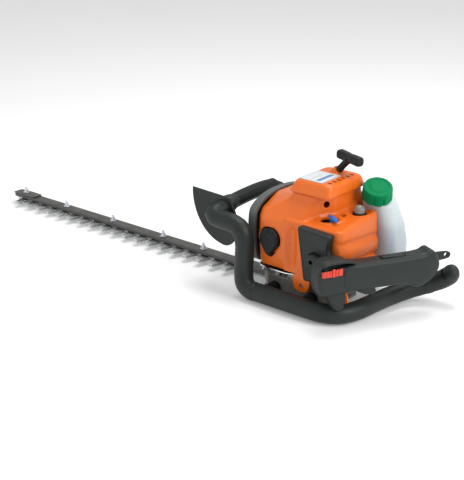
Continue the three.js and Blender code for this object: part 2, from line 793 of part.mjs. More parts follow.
/** Exhaust box between the cylinder and the front cover. */
function muffler() {
  const x0 = COVER_X0 - FRONT_COVER_DEPTH + 8;
  const flange = engineXY(crownAtTop - 14, -FIN_R - 4 - CLEAR);
  const body = slab(roundedRect(x0, flange[0] - 2, 8, 66, 8), 58, 112, 3);
  const neck = rod(
    9,
    [...engineXY(crownAtTop - 14, -FIN_R - 14), CRANK_Z],
    [...flange, CRANK_Z],
    12,
  );
  return join(body, neck);
}

// ---------------------------------------------------------------- Covers

/** Height of the sloping deck over the carburettor. */
const deckZ = (y) =>
  DECK_NEAR_Z + ((DECK_FAR_Z - DECK_NEAR_Z) * (y - COVER_Y0)) / (DECK_Y1 - COVER_Y0);

/** Space that the rear handle's switch box needs beside the engine, with a margin. */
const handleRelief = (margin) =>
  atHandle(box(-90, 90, -90, HANDLE_HALF + margin, -HANDLE_Z, 104 + margin));

/** Outer form of the orange engine cover, moved in by an inset for its hollow. */
function coverForm(inset) {
  const x0 = COVER_X0 + inset;
  const y0 = COVER_Y0 + inset;
  const y1 = COVER_Y1 - inset;
  const drop = inset;
  const x1 = TANK_X0 - CLEAR - 2 - inset;
  const z0 = COVER_Z0 - (inset ? 1 : 0);
  const chamfer = 14;
  const plan = (nearY, farY, z) => [
    [x0, nearY + chamfer, z],
    [x0 + chamfer, nearY, z],
    [HOOD_X1 - inset, nearY, z],
    [x1 - 8, 2 + inset, z],
    [x1, 30 + inset, z],
    [x1, farY, z],
    [x0, farY, z],
  ];
  const hall = skin([
    plan(y0 + 3, y1, z0),
    plan(y0, y1, COVER_Z0 + 22),
    plan(y0, y1, COVER_EAVES_Z - 6 - drop),
    plan(y0 + 10, y1 - 4, COVER_EAVES_Z + 5 - drop),
    plan(y0 + 44, y1 - 18, COVER_RIDGE_Z - drop),
  ]);
  const bayPlan = (right, far, level) =>
    [
      [0, y0],
      [right - inset - 6, y0],
      [right - inset, y0 + 6],
      [right - inset, far - inset],
      [0, far - inset],
    ].map(([x, y]) => [x, y, level(y)]);
  const bay = cut(
    skin([
      bayPlan(COVER_DECK_X1, DECK_Y1, () => z0),
      bayPlan(COVER_X1, DECK_Y1, () => COVER_Z0 + 46),
      bayPlan(COVER_DECK_X1, DECK_Y1, (y) => deckZ(y) - drop),
    ]),
    handleRelief(3 + inset),
  );
  const neck = (grow, z) =>
    levelRing(
      STARTER_X0 + 2 - grow + inset,
      STARTER_X1 - 6 + grow - inset,
      STARTER_Y0 + 19 - grow + inset,
      STARTER_Y1 - 4 + grow - inset,
      8,
      z,
    );
  const pedestal = skin([
    neck(0, DECK_NEAR_Z - 8 - drop),
    neck(0, COVER_TOP_Z - 14),
    neck(4, COVER_TOP_Z + (inset ? 1 : 0)),
  ]);
  return join(hall, bay, pedestal);
}

function engineCover() {
  const plugWindow = alongY(bootOutline(-3), COVER_Y0 - 2, COVER_Y0 + 12);
  const sleeveWindow = axial(BOOT_R + RUNNING, crownAtTop + 12, crownAtTop + 40);
  const mufflerWindow = box(COVER_X0 - 1, COVER_X0 + COVER_WALL + 1, 0, 74, COVER_Z0 - 1, 120);
  const filterWindow = box(
    FILTER_X0 + 4,
    FILTER_X1 - 4,
    COVER_Y0 - 1,
    COVER_Y0 + COVER_WALL + 1,
    COVER_Z0 - 1,
    FILTER_Z1 - 6,
  );
  const deckHole = (x, y, r) => post(r, DECK_NEAR_Z - 6, DECK_FAR_Z + 3, x, y, 16);
  const lug = alongY(
    [
      [LUG_X - 17, COVER_Z0 + 1],
      [LUG_X - 14, LUG_Z],
      [LUG_X + 4, LUG_Z - 2],
      [LUG_X + 12, LUG_Z + 8],
      [LUG_X + 14, COVER_Z0 + 1],
    ],
    COVER_Y0,
    COVER_Y0 + COVER_WALL,
  );
  const rearLug = alongY(
    [
      [78, COVER_Z0 + 1],
      [83, 34],
      [90, 23],
      [99, 26],
      [96, COVER_Z0 + 1],
    ],
    COVER_Y0,
    COVER_Y0 + COVER_WALL,
  );
  const lugHole = rod(3.5, [LUG_X, COVER_Y0 - 1, LUG_Z + 9], [LUG_X, COVER_Y0 + 4, LUG_Z + 9], 12);
  const tankSide = box(
    TANK_X0 - 2,
    COVER_X1 + 9,
    TANK_Y0 - CLEAR - 2,
    COVER_Y1 + 9,
    0,
    STARTER_TOP_Z,
  );
  const shell = cut(coverForm(0), coverForm(COVER_WALL));
  return cut(
    join(shell, lug, rearLug),
    plugWindow,
    sleeveWindow,
    mufflerWindow,
    filterWindow,
    tankSide,
    lugHole,
    deckHole(CHOKE_X, CHOKE_Y, CHOKE_HOLE_R),
    deckHole(PRIMER_X, PRIMER_Y, PRIMER_R + 1.5),
    deckHole(SCREW_X, SCREW_Y, 4),
  );
}

/** The dark cover over the exhaust, at the bar's end of the engine. */
function frontCover() {
  const x1 = COVER_X0 - CLEAR;
  const x0 = x1 - FRONT_COVER_DEPTH;
  const outline = (inset) => [
    [COVER_Y0 + 6 + inset, COVER_Z0 + 6 + inset],
    [COVER_Y0 + 22 + inset, COVER_Z0 - 8 + inset],
    [COVER_Y1 - 6 - inset, COVER_Z0 - 8 + inset],
    [COVER_Y1 - inset, COVER_Z0 + 10 + inset],
    [COVER_Y1 - inset, COVER_RIDGE_Z - 20 - inset],
    [COVER_Y1 - 20 - inset, COVER_RIDGE_Z + 2 - inset],
    [20, COVER_RIDGE_Z + 3 - inset],
    [-12, COVER_RIDGE_Z - 1 - inset],
    [COVER_Y0 + 14 + inset, COVER_RIDGE_Z - 10 - inset],
    [COVER_Y0 + 3 + inset, COVER_EAVES_Z - 1 - inset],
  ];
  const shell = alongX(outline(0), x0, x1, 2);
  const hollow = alongX(outline(3), x0 + 3, x1 + 1);
  const outlet = box(x0 - 1, x0 + 4, 22, 50, 70, 92);
  return cut(shell, hollow, outlet);
}

function filterCover() {
  const y1 = COVER_Y0 - CLEAR;
  const y0 = y1 - FILTER_DEPTH;
  const outline = [
    [FILTER_X0, FILTER_Z1],
    [FILTER_X0 + 11, FILTER_Z0 + 2],
    [FILTER_X0 + 16, FILTER_Z0],
    [FILTER_X1 + 2, FILTER_Z0],
    [FILTER_X1 + 3, FILTER_Z0 + 30],
    [FILTER_X1 - 3, FILTER_Z1 - 26],
    [FILTER_X1, FILTER_Z1 - 3],
  ];
  const hollow = [
    [FILTER_X0 + 6, FILTER_Z1 - 5],
    [FILTER_X0 + 18, FILTER_Z0 + 5],
    [FILTER_X1 - 8, FILTER_Z0 + 5],
    [FILTER_X1 - 7, FILTER_Z1 - 7],
  ];
  const stud = rod(3 + RUNNING, [KNOB_X, y0 - 1, KNOB_Z], [KNOB_X, y1 + 1, KNOB_Z], 12);
  const form = cut(alongY(outline, y0, y1, 2.5), handleRelief(1));
  return cut(form, alongY(hollow, y0 + 3, y1 + 1), stud);
}

function filterKnob() {
  const face = COVER_Y0 - CLEAR - FILTER_DEPTH - RUNNING;
  const disc = rod(KNOB_R, [KNOB_X, face - KNOB_LENGTH, KNOB_Z], [KNOB_X, face, KNOB_Z]);
  const stud = rod(3, [KNOB_X, face - 1, KNOB_Z], [KNOB_X, COVER_Y0 - 3, KNOB_Z], 12);
  const socket = rod(
    3.2,
    [KNOB_X, face - KNOB_LENGTH - 1, KNOB_Z],
    [KNOB_X, face - KNOB_LENGTH + 6, KNOB_Z],
    12,
  );
  return cut(join(disc, stud), socket);
}

/** The foam element in the cover's hollow, with a hole for the knob's stud. */
function airFilter() {
  const y0 = COVER_Y0 - FILTER_DEPTH + 4;
  const y1 = COVER_Y0 - 2;
  const foam = box(FILTER_X0 + 20, FILTER_X1 - 10, y0, y1, FILTER_Z0 + 26, FILTER_Z1 - 12);
  return cut(foam, rod(3 + CLEAR, [KNOB_X, y0 - 1, KNOB_Z], [KNOB_X, y1 + 1, KNOB_Z], 12));
}

// Controls on the deck
const CHOKE_X = 63;
const CHOKE_Y = -21;
const CHOKE_HOLE_R = 9;
const CHOKE_LENGTH = 20;
const SCREW_X = 66;
const SCREW_Y = 4;
const PRIMER_X = 77;
const PRIMER_Y = 29;
const PRIMER_R = 9;

function carburettor() {
  const [px, py] = engineXY(crownAtTop - 14, FIN_R + 4 + CLEAR);
  const body = box(px + 8, px + 46, py - 12, py + 15, 72, 106);
  const [ix, iy] = engineXY(crownAtTop - 14, FIN_R + 16);
  const intake = rod(8, [px, py, CRANK_Z], [ix, iy, CRANK_Z], 12);
  const shaftPost = post(3, 104, DECK_NEAR_Z - 12, CHOKE_X, CHOKE_Y, 12);
  return join(body, intake, shaftPost);
}

/** A small blue lever that lies across the hole in the deck. */
function chokeLever() {
  const z0 = DECK_NEAR_Z - 12 + RUNNING;
  const armZ0 = deckZ(CHOKE_Y + CHOKE_LENGTH) + RUNNING;
  const arm = box(-5, CHOKE_LENGTH - 5, -3.5, 3.5, armZ0, armZ0 + 6).rotateZ(-0.5);
  return join(post(4, z0, armZ0 + 5, 0, 0, 12), arm).translate(CHOKE_X, CHOKE_Y, 0);
}

/** The fuel primer: a soft clear dome with a short skirt. */
function primerBulb() {
  const z = deckZ(PRIMER_Y);
  const profile = [
    [0, z - 6],
    [PRIMER_R, z - 6],
    [PRIMER_R, z + 2],
    [PRIMER_R * 0.8, z + 6],
    [PRIMER_R * 0.4, z + 8.5],
    [0, z + 9],
  ].map(([r, height]) => new THREE.Vector2(r, height));
  return new THREE.LatheGeometry(profile, 16)
    .rotateX(Math.PI / 2)
    .translate(PRIMER_X, PRIMER_Y, 0);
}

// ---------------------------------------------------------------- Starter

const PULL_LEAN = 0.7; // the rope leaves this far from upright, towards +X
const EXIT_X = 26;
const EXIT_Y = 42;
const BOSS_OUT = 7;

/** The orange recoil housing on top, hollow from below, with a boss for the rope. */
function starterHousing() {
  const z0 = COVER_TOP_Z + CLEAR;
  const rim = 2;
  const form = (inset, z) =>
    skin([
      levelRing(
        STARTER_X0 - rim + inset,
        STARTER_X1 + rim - inset,
        STARTER_Y0 - rim + inset,
        STARTER_Y1 + rim - inset,
        7,
        z,
      ),
      levelRing(
        STARTER_X0 + 3 + inset,
        STARTER_X1 - inset,
        STARTER_Y0 + 3 + inset,
        STARTER_Y1 - 3 - inset,
        7,
        STARTER_TOP_Z - 3 - inset,
      ),
      levelRing(
        STARTER_X0 + 6 + inset,
        STARTER_X1 - 3 - inset,
        STARTER_Y0 + 6 + inset,
        STARTER_Y1 - 6 - inset,
        6,
        STARTER_TOP_Z - inset,
      ),
    ]);
  const boss = rod(9, pullPoint(-14), pullPoint(BOSS_OUT), 16);
  const axle = post(4 - RUNNING, PULLEY_Z - 2, STARTER_TOP_Z - 1, CRANK_X, CRANK_Y, 12);
  const shell = join(cut(join(form(0, z0), boss), form(COVER_WALL, z0 - 1)), axle);
  const slots = [];
  for (let i = 0; i < 5; i++)
    slots.push(
      box(
        STARTER_X1 - 16,
        STARTER_X1 - 7,
        STARTER_Y0 + 14 + i * 13,
        STARTER_Y0 + 19 + i * 13,
        STARTER_TOP_Z - 5,
        STARTER_TOP_Z + 1,
      ),
    );
  return cut(shell, rod(5, pullPoint(-20), pullPoint(BOSS_OUT + 2), 12), ...slots);
}

/** A point on the rope's line, at a distance beyond the starter housing's top. */
function pullPoint(distance) {
  return [
    EXIT_X + distance * Math.sin(PULL_LEAN),
    EXIT_Y,
    STARTER_TOP_Z + distance * Math.cos(PULL_LEAN),
  ];
}

const GRIP_BAR_LENGTH = 54;
const GRIP_BAR_R = 7.5;
const GRIP_STEM = 26;

function starterGrip() {
  const centre = pullPoint(GRIP_STEM + 8);
  const across = 2.76; // direction of the bar about +Z
  const half = GRIP_BAR_LENGTH / 2;
  const reach = [half * Math.cos(across), half * Math.sin(across)];
  const bar = rod(
    GRIP_BAR_R,
    [centre[0] - reach[0], centre[1] - reach[1], centre[2]],
    [centre[0] + reach[0], centre[1] + reach[1], centre[2]],
    10,
  );
  const stem = rod(7, pullPoint(BOSS_OUT + RUNNING), pullPoint(GRIP_STEM + 6), 12);
  const bore = rod(ROPE_R + CLEAR, pullPoint(0), pullPoint(18), 8);
  return cut(join(bar, stem), bore);
}

const starterRope = () => rod(ROPE_R, pullPoint(-22), pullPoint(17), 8);

/** The rope pulley, with its groove, over the flywheel. */
function starterPulley() {
  const z1 = PULLEY_Z + PULLEY_THICK;
  const profile = [
    [4, PULLEY_Z],
    [PULLEY_R, PULLEY_Z],
    [PULLEY_R, PULLEY_Z + 1.5],
    [PULLEY_R - 6, PULLEY_Z + 3],
    [PULLEY_R - 6, z1 - 3],
    [PULLEY_R, z1 - 1.5],
    [PULLEY_R, z1],
    [4, z1],
    [4, PULLEY_Z],
  ].map(([r, z]) => new THREE.Vector2(r, z));
  return new THREE.LatheGeometry(profile, 24)
    .rotateX(Math.PI / 2)
    .translate(CRANK_X, CRANK_Y, 0);
}

// ---------------------------------------------------------------- Fuel tank

/** Outer form of the tank: a column that narrows upwards, cut off square to the filler. */
function tankForm(inset) {
  const level = (shrinkX, shrinkY, r, z) =>
    levelRing(
      TANK_X0 + inset,
      TANK_X1 - shrinkX - inset,
      TANK_Y0 + inset,
      TANK_Y1 - shrinkY - inset,
      r - inset,
      z,
      4,
    );
  const column = skin([
    level(8, 8, TANK_CORNER_R - 6, TANK_Z0 + inset),
    level(0, 0, TANK_CORNER_R, TANK_Z0 + 10),
    level(0, 0, TANK_CORNER_R, TANK_Z0 + 48),
    level(3, 5, TANK_CORNER_R, TANK_Z0 + 76),
    level(9, 16, TANK_CORNER_R, TANK_Z0 + 106),
    level(16, 30, TANK_CORNER_R - 6, TANK_Z1 - inset),
  ]);
  const shoulder = box(-90, 90, -90, 90, -inset, 120).applyMatrix4(neckMatrix());
  return cut(column, shoulder);
}

/** The filler's frame: its Z leaves the tank along the neck. */
function neckMatrix() {
  const lean = new THREE.Vector3(0.64, -0.77, 0);
  const axis = new THREE.Vector3(0, 0, 1).cross(lean).normalize();
  return new THREE.Matrix4()
    .makeRotationAxis(axis, NECK_TILT)
    .setPosition(NECK_X, NECK_Y, NECK_Z);
}

function fuelTank() {
  const neck = post(NECK_R, -6, NECK_HEIGHT, 0, 0, 24).applyMatrix4(neckMatrix());
  const mouth = post(NECK_R - 2.5, -20, NECK_HEIGHT + 1, 0, 0, 24).applyMatrix4(neckMatrix());
  return cut(join(tankForm(0), neck), tankForm(TANK_WALL), mouth);
}

/** The cap's soft seal, which sits on the mouth of the neck. */
function capSeal() {
  const z0 = NECK_HEIGHT + CLEAR;
  const ring = cut(
    post(NECK_R, z0, z0 + SEAL_THICK, 0, 0, 24),
    post(NECK_R - 6, z0 - 1, z0 + SEAL_THICK + 1, 0, 0, 16),
  );
  return ring.applyMatrix4(neckMatrix());
}

function fuelCap() {
  const top = NECK_HEIGHT + CLEAR + SEAL_THICK + CLEAR + CAP_WALL;
  const shell = cut(
    post(CAP_R, top - CAP_HEIGHT, top, 0, 0, 32),
    post(NECK_R + RUNNING + 0.5, top - CAP_HEIGHT - 1, top - CAP_WALL, 0, 0, 24),
  );
  return shell.applyMatrix4(neckMatrix());
}

// ---------------------------------------------------------------- Handle loop

const GRIP_NEAR_Y = -34;
const GRIP_FAR_Y = 78;

/** Path of the front loop: up the near side, along the run, over the grip, down the far side. */
const FRONT_PATH = [
  [-30, NEAR_Y, LOW_Z],
  [-42, NEAR_Y, LOW_Z],
  [-54, NEAR_Y + 1, LOW_Z + 7],
  [RISE_X, NEAR_Y + 5, LOW_Z + 26],
  [RISE_X - 1, NEAR_Y + 8, 64],
  [RISE_X - 2, NEAR_Y + 9, 84],
  [RISE_X - 9, NEAR_Y + 9, RUN_Z - 6],
  [RISE_X - 24, NEAR_Y + 10, RUN_Z],
  [GRIP_X - 2, NEAR_Y + 10, RUN_Z + 3],
  [GRIP_X - 8, NEAR_Y + 13, RUN_Z + 6],
  [GRIP_X - 6, NEAR_Y + 22, GRIP_Z - 9],
  [GRIP_X, GRIP_NEAR_Y, GRIP_Z],
  [GRIP_X - 1, 0, GRIP_Z + 2],
  [GRIP_X - 3, GRIP_FAR_Y - 30, GRIP_Z + 2],
  [GRIP_X - 4, GRIP_FAR_Y, GRIP_Z - 1],
  [GRIP_X + 4, FAR_Y - 7, GRIP_Z - 12],
  [GRIP_X + 18, FAR_Y, GRIP_Z - 34],
  [GRIP_X + 34, FAR_Y, GRIP_Z - 68],
  [GRIP_X + 54, FAR_Y, 32],
  [-36, FAR_Y, LOW_Z + 5],
  [0, FAR_Y, LOW_Z + 3],
  [40, FAR_Y, LOW_Z + 3],
];

/** Path of the ground frame: along the near side and round to the rear handle's far end. */
const FRAME_PATH = [
  [-29.5, NEAR_Y, LOW_Z],
  [0, NEAR_Y, LOW_Z],
  [60, NEAR_Y, LOW_Z],
  [88, NEAR_Y + 2, LOW_Z],
  [108, NEAR_Y + 14, LOW_Z],
  [FRAME_X, NEAR_Y + 38, LOW_Z],
  [FRAME_X + 5, 4, LOW_Z],
  [FRAME_X + 11, 40, LOW_Z + 1],
  [FRAME_X + 24, 70, LOW_Z + 5],
  [FRAME_X + 42, 88, LOW_Z + 12],
  [FRAME_X + 62, 98, LOW_Z + 22],
  [FRAME_X + 74, 99, LOW_Z + 33],
  [FRAME_X + 72, 92, LOW_Z + 41],
];

/** The ribbed sleeve of the front grip, slid over the thin part of the loop. */
function gripSleeve() {
  const path = FRONT_PATH.slice(11, 15);
  const outer = sweep(path, () => CORE_R + SLEEVE_WALL, 14, 8);
  const inner = sweep(FRONT_PATH, (share) => loopRadius(share) + CLEAR, 12, 60);
  return cut(outer, inner);
}

/** The crescent guard between the hand and the hedge. */
function handGuard() {
  const shape = new THREE.Shape()
    .moveTo(-178, 143)
    .bezierCurveTo(-180, 118, -166, 70, -118, 62)
    .bezierCurveTo(-102, 60, -92, 72, -90, 92)
    .lineTo(-93, 118)
    .lineTo(-104, 140)
    .closePath();
  const plate = slab(shape, -GUARD_Y - GUARD_THICK, -GUARD_Y).rotateX(Math.PI / 2);
  return cut(plate, sweep(FRONT_PATH, (share) => loopRadius(share) + CLEAR, 12, 60));
}

// ---------------------------------------------------------------- Rear handle

/** Places something built in the handle's frame. */
const atHandle = (geometry) =>
  geometry.rotateZ(HANDLE_ANGLE).translate(HANDLE_X, HANDLE_Y, HANDLE_Z);

/** Side outline of the whole rear handle, in its U and Z, moved in by an inset. */
const handleOutline = (inset = 0) => [
  [-38 + inset, 46 + inset],
  [2, 50 + inset],
  [104, GRIP_BOTTOM + inset],
  [116, 38 + inset],
  [126, 39 + inset],
  [146 - inset, 50 + inset],
  [156 - inset, 66],
  [151 - inset, 82 - inset],
  [142, 90 - inset],
  [130, GRIP_TOP - 2 - inset],
  [12, GRIP_TOP - inset],
  [2, 100 - inset],
  [-30, 101 - inset],
  [-39 + inset, 94 - inset],
  [-43 + inset, 70],
];

const TRIGGER_HALF = 5;
const TRIGGER_U0 = 18;
const TRIGGER_U1 = 56;
const LOCKOUT_U0 = 64;
const LOCKOUT_U1 = 100;
const SWITCH_U = -22;
const SWITCH_Z = 85;
const SWITCH_LENGTH = 31;
const SWITCH_TRAVEL = 4;

/** One half of the handle's shell, hollow. side is -1 for the near half, 1 for the far half. */
function handleHalf(side) {
  const across = (from, to) => (side < 0 ? [-to, -from] : [from, to]);
  const solid = alongY(handleOutline(), ...across(CLEAR / 2, HANDLE_HALF), 0);
  const cavity = alongY(handleOutline(HANDLE_WALL), ...across(-1, HANDLE_HALF - HANDLE_WALL));
  const halfSlot = TRIGGER_HALF + RUNNING;
  const triggerSlot = box(TRIGGER_U0 - 2, TRIGGER_U1 + 5, -halfSlot, halfSlot, 30, 60);
  const lockoutSlot = box(LOCKOUT_U0 - 2, LOCKOUT_U1 + 2, -halfSlot, halfSlot, 80, 110);
  const shell = cut(solid, cavity, triggerSlot, lockoutSlot);
  return side < 0 ? cut(shell, switchSlot()) : join(shell, hangingLoop());
}

/** Slot for the stop switch's peg, in the near half. */
const switchSlot = () =>
  box(
    SWITCH_U - 4 - SWITCH_TRAVEL - RUNNING,
    SWITCH_U + 4 + SWITCH_TRAVEL + RUNNING,
    -HANDLE_HALF - 1,
    -HANDLE_HALF + HANDLE_WALL + 1,
    SWITCH_Z - 3,
    SWITCH_Z + 3,
  );

/** The eye at the far end that the machine hangs from. */
function hangingLoop() {
  const plate = alongY(
    [
      [148, 68],
      [177, 69],
      [182, 72],
      [182, 77],
      [177, 80],
      [146, 79],
    ],
    2,
    9,
  );
  return cut(plate, rod(3, [175, 0, 74.5], [175, 12, 74.5], 10));
}

function throttleTrigger() {
  return alongY(
    [
      [TRIGGER_U0, 62],
      [TRIGGER_U0, 52],
      [TRIGGER_U0 + 8, 44],
      [TRIGGER_U0 + 20, 38],
      [TRIGGER_U1 - 4, 36],
      [TRIGGER_U1, 42],
      [TRIGGER_U1 - 8, 56],
      [TRIGGER_U0 + 12, 64],
    ],
    -TRIGGER_HALF,
    TRIGGER_HALF,
    1,
  );
}

function throttleLockout() {
  return alongY(
    [
      [LOCKOUT_U0, 82],
      [LOCKOUT_U1, 80],
      [LOCKOUT_U1, 90],
      [LOCKOUT_U1 - 8, 92],
      [LOCKOUT_U0 + 4, 97],
      [LOCKOUT_U0, 92],
    ],
    -TRIGGER_HALF,
    TRIGGER_HALF,
    1,
  );
}

function stopSwitch() {
  const half = SWITCH_LENGTH / 2;
  const face = -HANDLE_HALF - CLEAR;
  const pad = box(SWITCH_U - half, SWITCH_U + half, face - 3, face, SWITCH_Z - 5.5, SWITCH_Z + 5.5);
  const peg = box(SWITCH_U - 4, SWITCH_U + 4, face - 1, face + 6, SWITCH_Z - 2.5, SWITCH_Z + 2.5);
  return join(pad, peg);
}

/** The handle's whole form with a gap all round. */
const handleSpace = () =>
  atHandle(alongY(handleOutline(-CLEAR), -HANDLE_HALF - CLEAR, HANDLE_HALF + CLEAR));

/** The leg that ties the switch box to the frame's corner. */
function handleLeg() {
  const leg = alongY(
    [
      [-26, 46.4],
      [-22, 34],
      [-10, 19],
      [10, 17],
      [14, 32],
      [16, 48.6],
      [2, 49.4],
    ],
    -11,
    11,
  );
  const tubeSpace = tube(FRAME_PATH.slice(1, 8), TUBE_R + CLEAR, 12, 30);
  return cut(atHandle(leg), tubeSpace);
}

/** The frame ends against the rear handle's far end. */
function groundFrame() {
  const spigot = rod(9, [-28, NEAR_Y, LOW_Z], [-39, NEAR_Y, LOW_Z], 12);
  return cut(join(tube(FRAME_PATH, TUBE_R, 12, 40), spigot), handleSpace());
}

/** The loop's radius at a share of its length: full, but thinner along the grip. */
function loopRadius(share) {
  const from = 0.4;
  const to = 0.64;
  const fade = 0.04;
  const into = THREE.MathUtils.smoothstep(share, from - fade, from);
  const out = THREE.MathUtils.smoothstep(share, to, to + fade);
  return TUBE_R - (TUBE_R - CORE_R) * (into - out);
}

function frontLoop() {
  const socket = rod(9 + CLEAR, [-29, NEAR_Y, LOW_Z], [-40, NEAR_Y, LOW_Z], 12);
  return cut(sweep(FRONT_PATH, loopRadius, 12, 60), socket);
}

/** A rubber-filled spring between the gear case and the handles, along Y. */
function bufferSpring(x, y0, y1, z) {
  const turns = 4;
  const step = (y1 - y0) / turns;
  const profile = [[0, 0]];
  for (let i = 0; i < turns; i++)
    profile.push([7.5, i * step], [10.5, (i + 0.3) * step], [10.5, (i + 0.7) * step]);
  profile.push([7.5, y1 - y0], [0, y1 - y0]);
  return new THREE.LatheGeometry(
    profile.map(([r, h]) => new THREE.Vector2(r, h)),
    14,
  ).translate(x, y0, z);
}

const LABEL_INSET = 9;
const LABEL_WIDTH = 41;
const LABEL_LENGTH = 48;
const LABEL_THICK = 0.8;

/** Plain label on the starter housing. */
const labelPlate = () =>
  box(
    STARTER_X0 + LABEL_INSET,
    STARTER_X0 + LABEL_INSET + LABEL_WIDTH,
    STARTER_Y0 + LABEL_INSET,
    STARTER_Y0 + LABEL_INSET + LABEL_LENGTH,
    STARTER_TOP_Z + CLEAR,
    STARTER_TOP_Z + CLEAR + LABEL_THICK,
  );

// ---------------------------------------------------------------- Assembly
add("gear_case_cover", gearCaseCover(), ALLOY);
add("gear_case", gearCase(), ALLOY);
add("drive_gear", driveGear(), STEEL);
add("lower_blade", blade(LOWER_BLADE_Z), STEEL);
add("upper_blade", blade(UPPER_BLADE_Z), STEEL);
add("guide_bar", guideBar(), DARK_STEEL);
add("bar_end_plate", barEndPlate(), DARK_STEEL);
BOLT_XS.forEach((_, i) => {
  add(`bar_bolt_${i + 1}`, barBolt(i), DARK_STEEL);
  add(`bar_nut_${i + 1}`, barNut(i), STEEL);
});
add("clutch_bell", clutchBell(), ALLOY);
add("clutch_drum", clutchDrum(), DARK_STEEL);
add("clutch_shoes", clutchShoes(), DARK_STEEL);
add("crankcase", crankcase(), ALLOY);
add("crank_lower", crankHalf(-1), STEEL);
add("crank_upper", crankHalf(1), STEEL);
add("connecting_rod", connectingRod(), STEEL);
add("piston", piston(), STEEL);
add("cylinder", cylinder(), ALLOY);
add("spark_plug", sparkPlug(), TANK_WHITE);
add("plug_boot", plugBoot(), RUBBER);
add("flywheel", flywheel(), ALLOY);
add("muffler", muffler(), DARK_STEEL);
add("carburettor", carburettor(), ALLOY);
add("air_filter", airFilter(), FOAM);
add("filter_cover", filterCover(), DARK);
add("filter_knob", filterKnob(), DARK);
add("engine_cover", engineCover(), ORANGE);
add("front_cover", frontCover(), DARK);
add("choke_lever", chokeLever(), BLUE);
add("primer_bulb", primerBulb(), CLEAR_PLASTIC);
add("starter_pulley", starterPulley(), DARK);
add("starter_housing", starterHousing(), ORANGE);
add("starter_rope", starterRope(), ROPE);
add("starter_grip", starterGrip(), RUBBER);
add("label_plate", labelPlate(), CLEAR_PLASTIC);
add("fuel_tank", fuelTank(), TANK_WHITE);
add("cap_seal", capSeal(), RUBBER);
add("fuel_cap", fuelCap(), GREEN);
add("front_loop", frontLoop(), DARK);
add("ground_frame", groundFrame(), DARK);
add("grip_sleeve", gripSleeve(), RUBBER);
add("hand_guard", handGuard(), DARK);
add("handle_near", atHandle(handleHalf(-1)), DARK);
add("handle_far", atHandle(handleHalf(1)), DARK);
add("handle_leg", handleLeg(), DARK);
add("throttle_trigger", atHandle(throttleTrigger()), DARK);
add("throttle_lockout", atHandle(throttleLockout()), DARK);
add("stop_switch", atHandle(stopSwitch()), RED);
const nearGap = [NEAR_Y + TUBE_R + CLEAR, -(gearTipR() + GEAR_CLEAR + CASE_WALL + 3) - CLEAR];
add("buffer_spring_1", bufferSpring(-22, ...nearGap, TUBE_R), RUBBER);
add("buffer_spring_2", bufferSpring(46, ...nearGap, TUBE_R), RUBBER);
add(
  "buffer_spring_3",
  bufferSpring(12, CRANK_Y + BELL_R + 6 + CLEAR, FAR_Y - TUBE_R - CLEAR, TUBE_R + 3),
  RUBBER,
);

export default model;
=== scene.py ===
"""Petrol hedge trimmer: its finishes, visible pieces, light and camera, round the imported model."""

import logging
import math
from dataclasses import dataclass, field
from enum import Enum
from typing import Callable, Iterable, Sequence

import bmesh
import bpy
from bmesh.types import BMEdge, BMesh, BMFace, BMVert
from bpy.types import ID, Material, Node, NodeSocket, Object
from mathutils import Matrix, Vector
from mathutils.geometry import interpolate_bezier


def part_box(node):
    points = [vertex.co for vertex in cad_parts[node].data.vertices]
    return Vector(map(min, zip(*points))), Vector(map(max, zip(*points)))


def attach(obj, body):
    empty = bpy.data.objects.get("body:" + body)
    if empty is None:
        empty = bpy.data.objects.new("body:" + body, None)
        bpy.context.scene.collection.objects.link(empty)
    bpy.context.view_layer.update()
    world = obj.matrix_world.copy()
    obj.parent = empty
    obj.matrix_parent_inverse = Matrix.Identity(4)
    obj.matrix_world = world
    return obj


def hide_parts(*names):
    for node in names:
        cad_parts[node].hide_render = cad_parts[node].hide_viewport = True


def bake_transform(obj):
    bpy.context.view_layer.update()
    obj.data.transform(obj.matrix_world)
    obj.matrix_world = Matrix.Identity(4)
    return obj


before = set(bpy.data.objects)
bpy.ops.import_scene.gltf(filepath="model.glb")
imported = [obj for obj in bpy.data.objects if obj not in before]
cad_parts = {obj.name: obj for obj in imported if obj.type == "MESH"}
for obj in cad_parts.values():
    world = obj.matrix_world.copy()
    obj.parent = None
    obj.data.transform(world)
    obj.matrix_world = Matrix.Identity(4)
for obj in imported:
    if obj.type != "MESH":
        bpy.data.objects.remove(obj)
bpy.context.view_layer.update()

LOG = logging.getLogger("hedge_trimmer")
MM = 0.001
MERGE_MM = 0.02  # corners closer than this are one
CURVE_STEPS = 24  # between two places of a smooth path
ALONG_X, ALONG_Y, ALONG_Z = Vector((1, 0, 0)), Vector((0, 1, 0)), Vector((0, 0, 1))

Colour = tuple[float, float, float]
Point = tuple[float, float, float]


class Slot(str, Enum):
    """The record's material slots."""

    CAST = "cast_alloy"
    GROUND_STEEL = "ground_steel"
    BAR_STEEL = "bar_steel"
    ZINC = "zinc_steel"
    ENGINE_STEEL = "engine_steel"
    CERAMIC = "plug_ceramic"
    RUBBER = "black_rubber"
    FOAM = "filter_foam"
    ORANGE = "orange_plastic"
    DARK = "dark_plastic"
    BLUE = "blue_plastic"
    CLEAR = "clear_plastic"
    ROPE = "rope_fibre"
    LABEL = "label_silver"
    TANK = "tank_plastic"
    GREEN = "green_plastic"
    RED = "red_plastic"


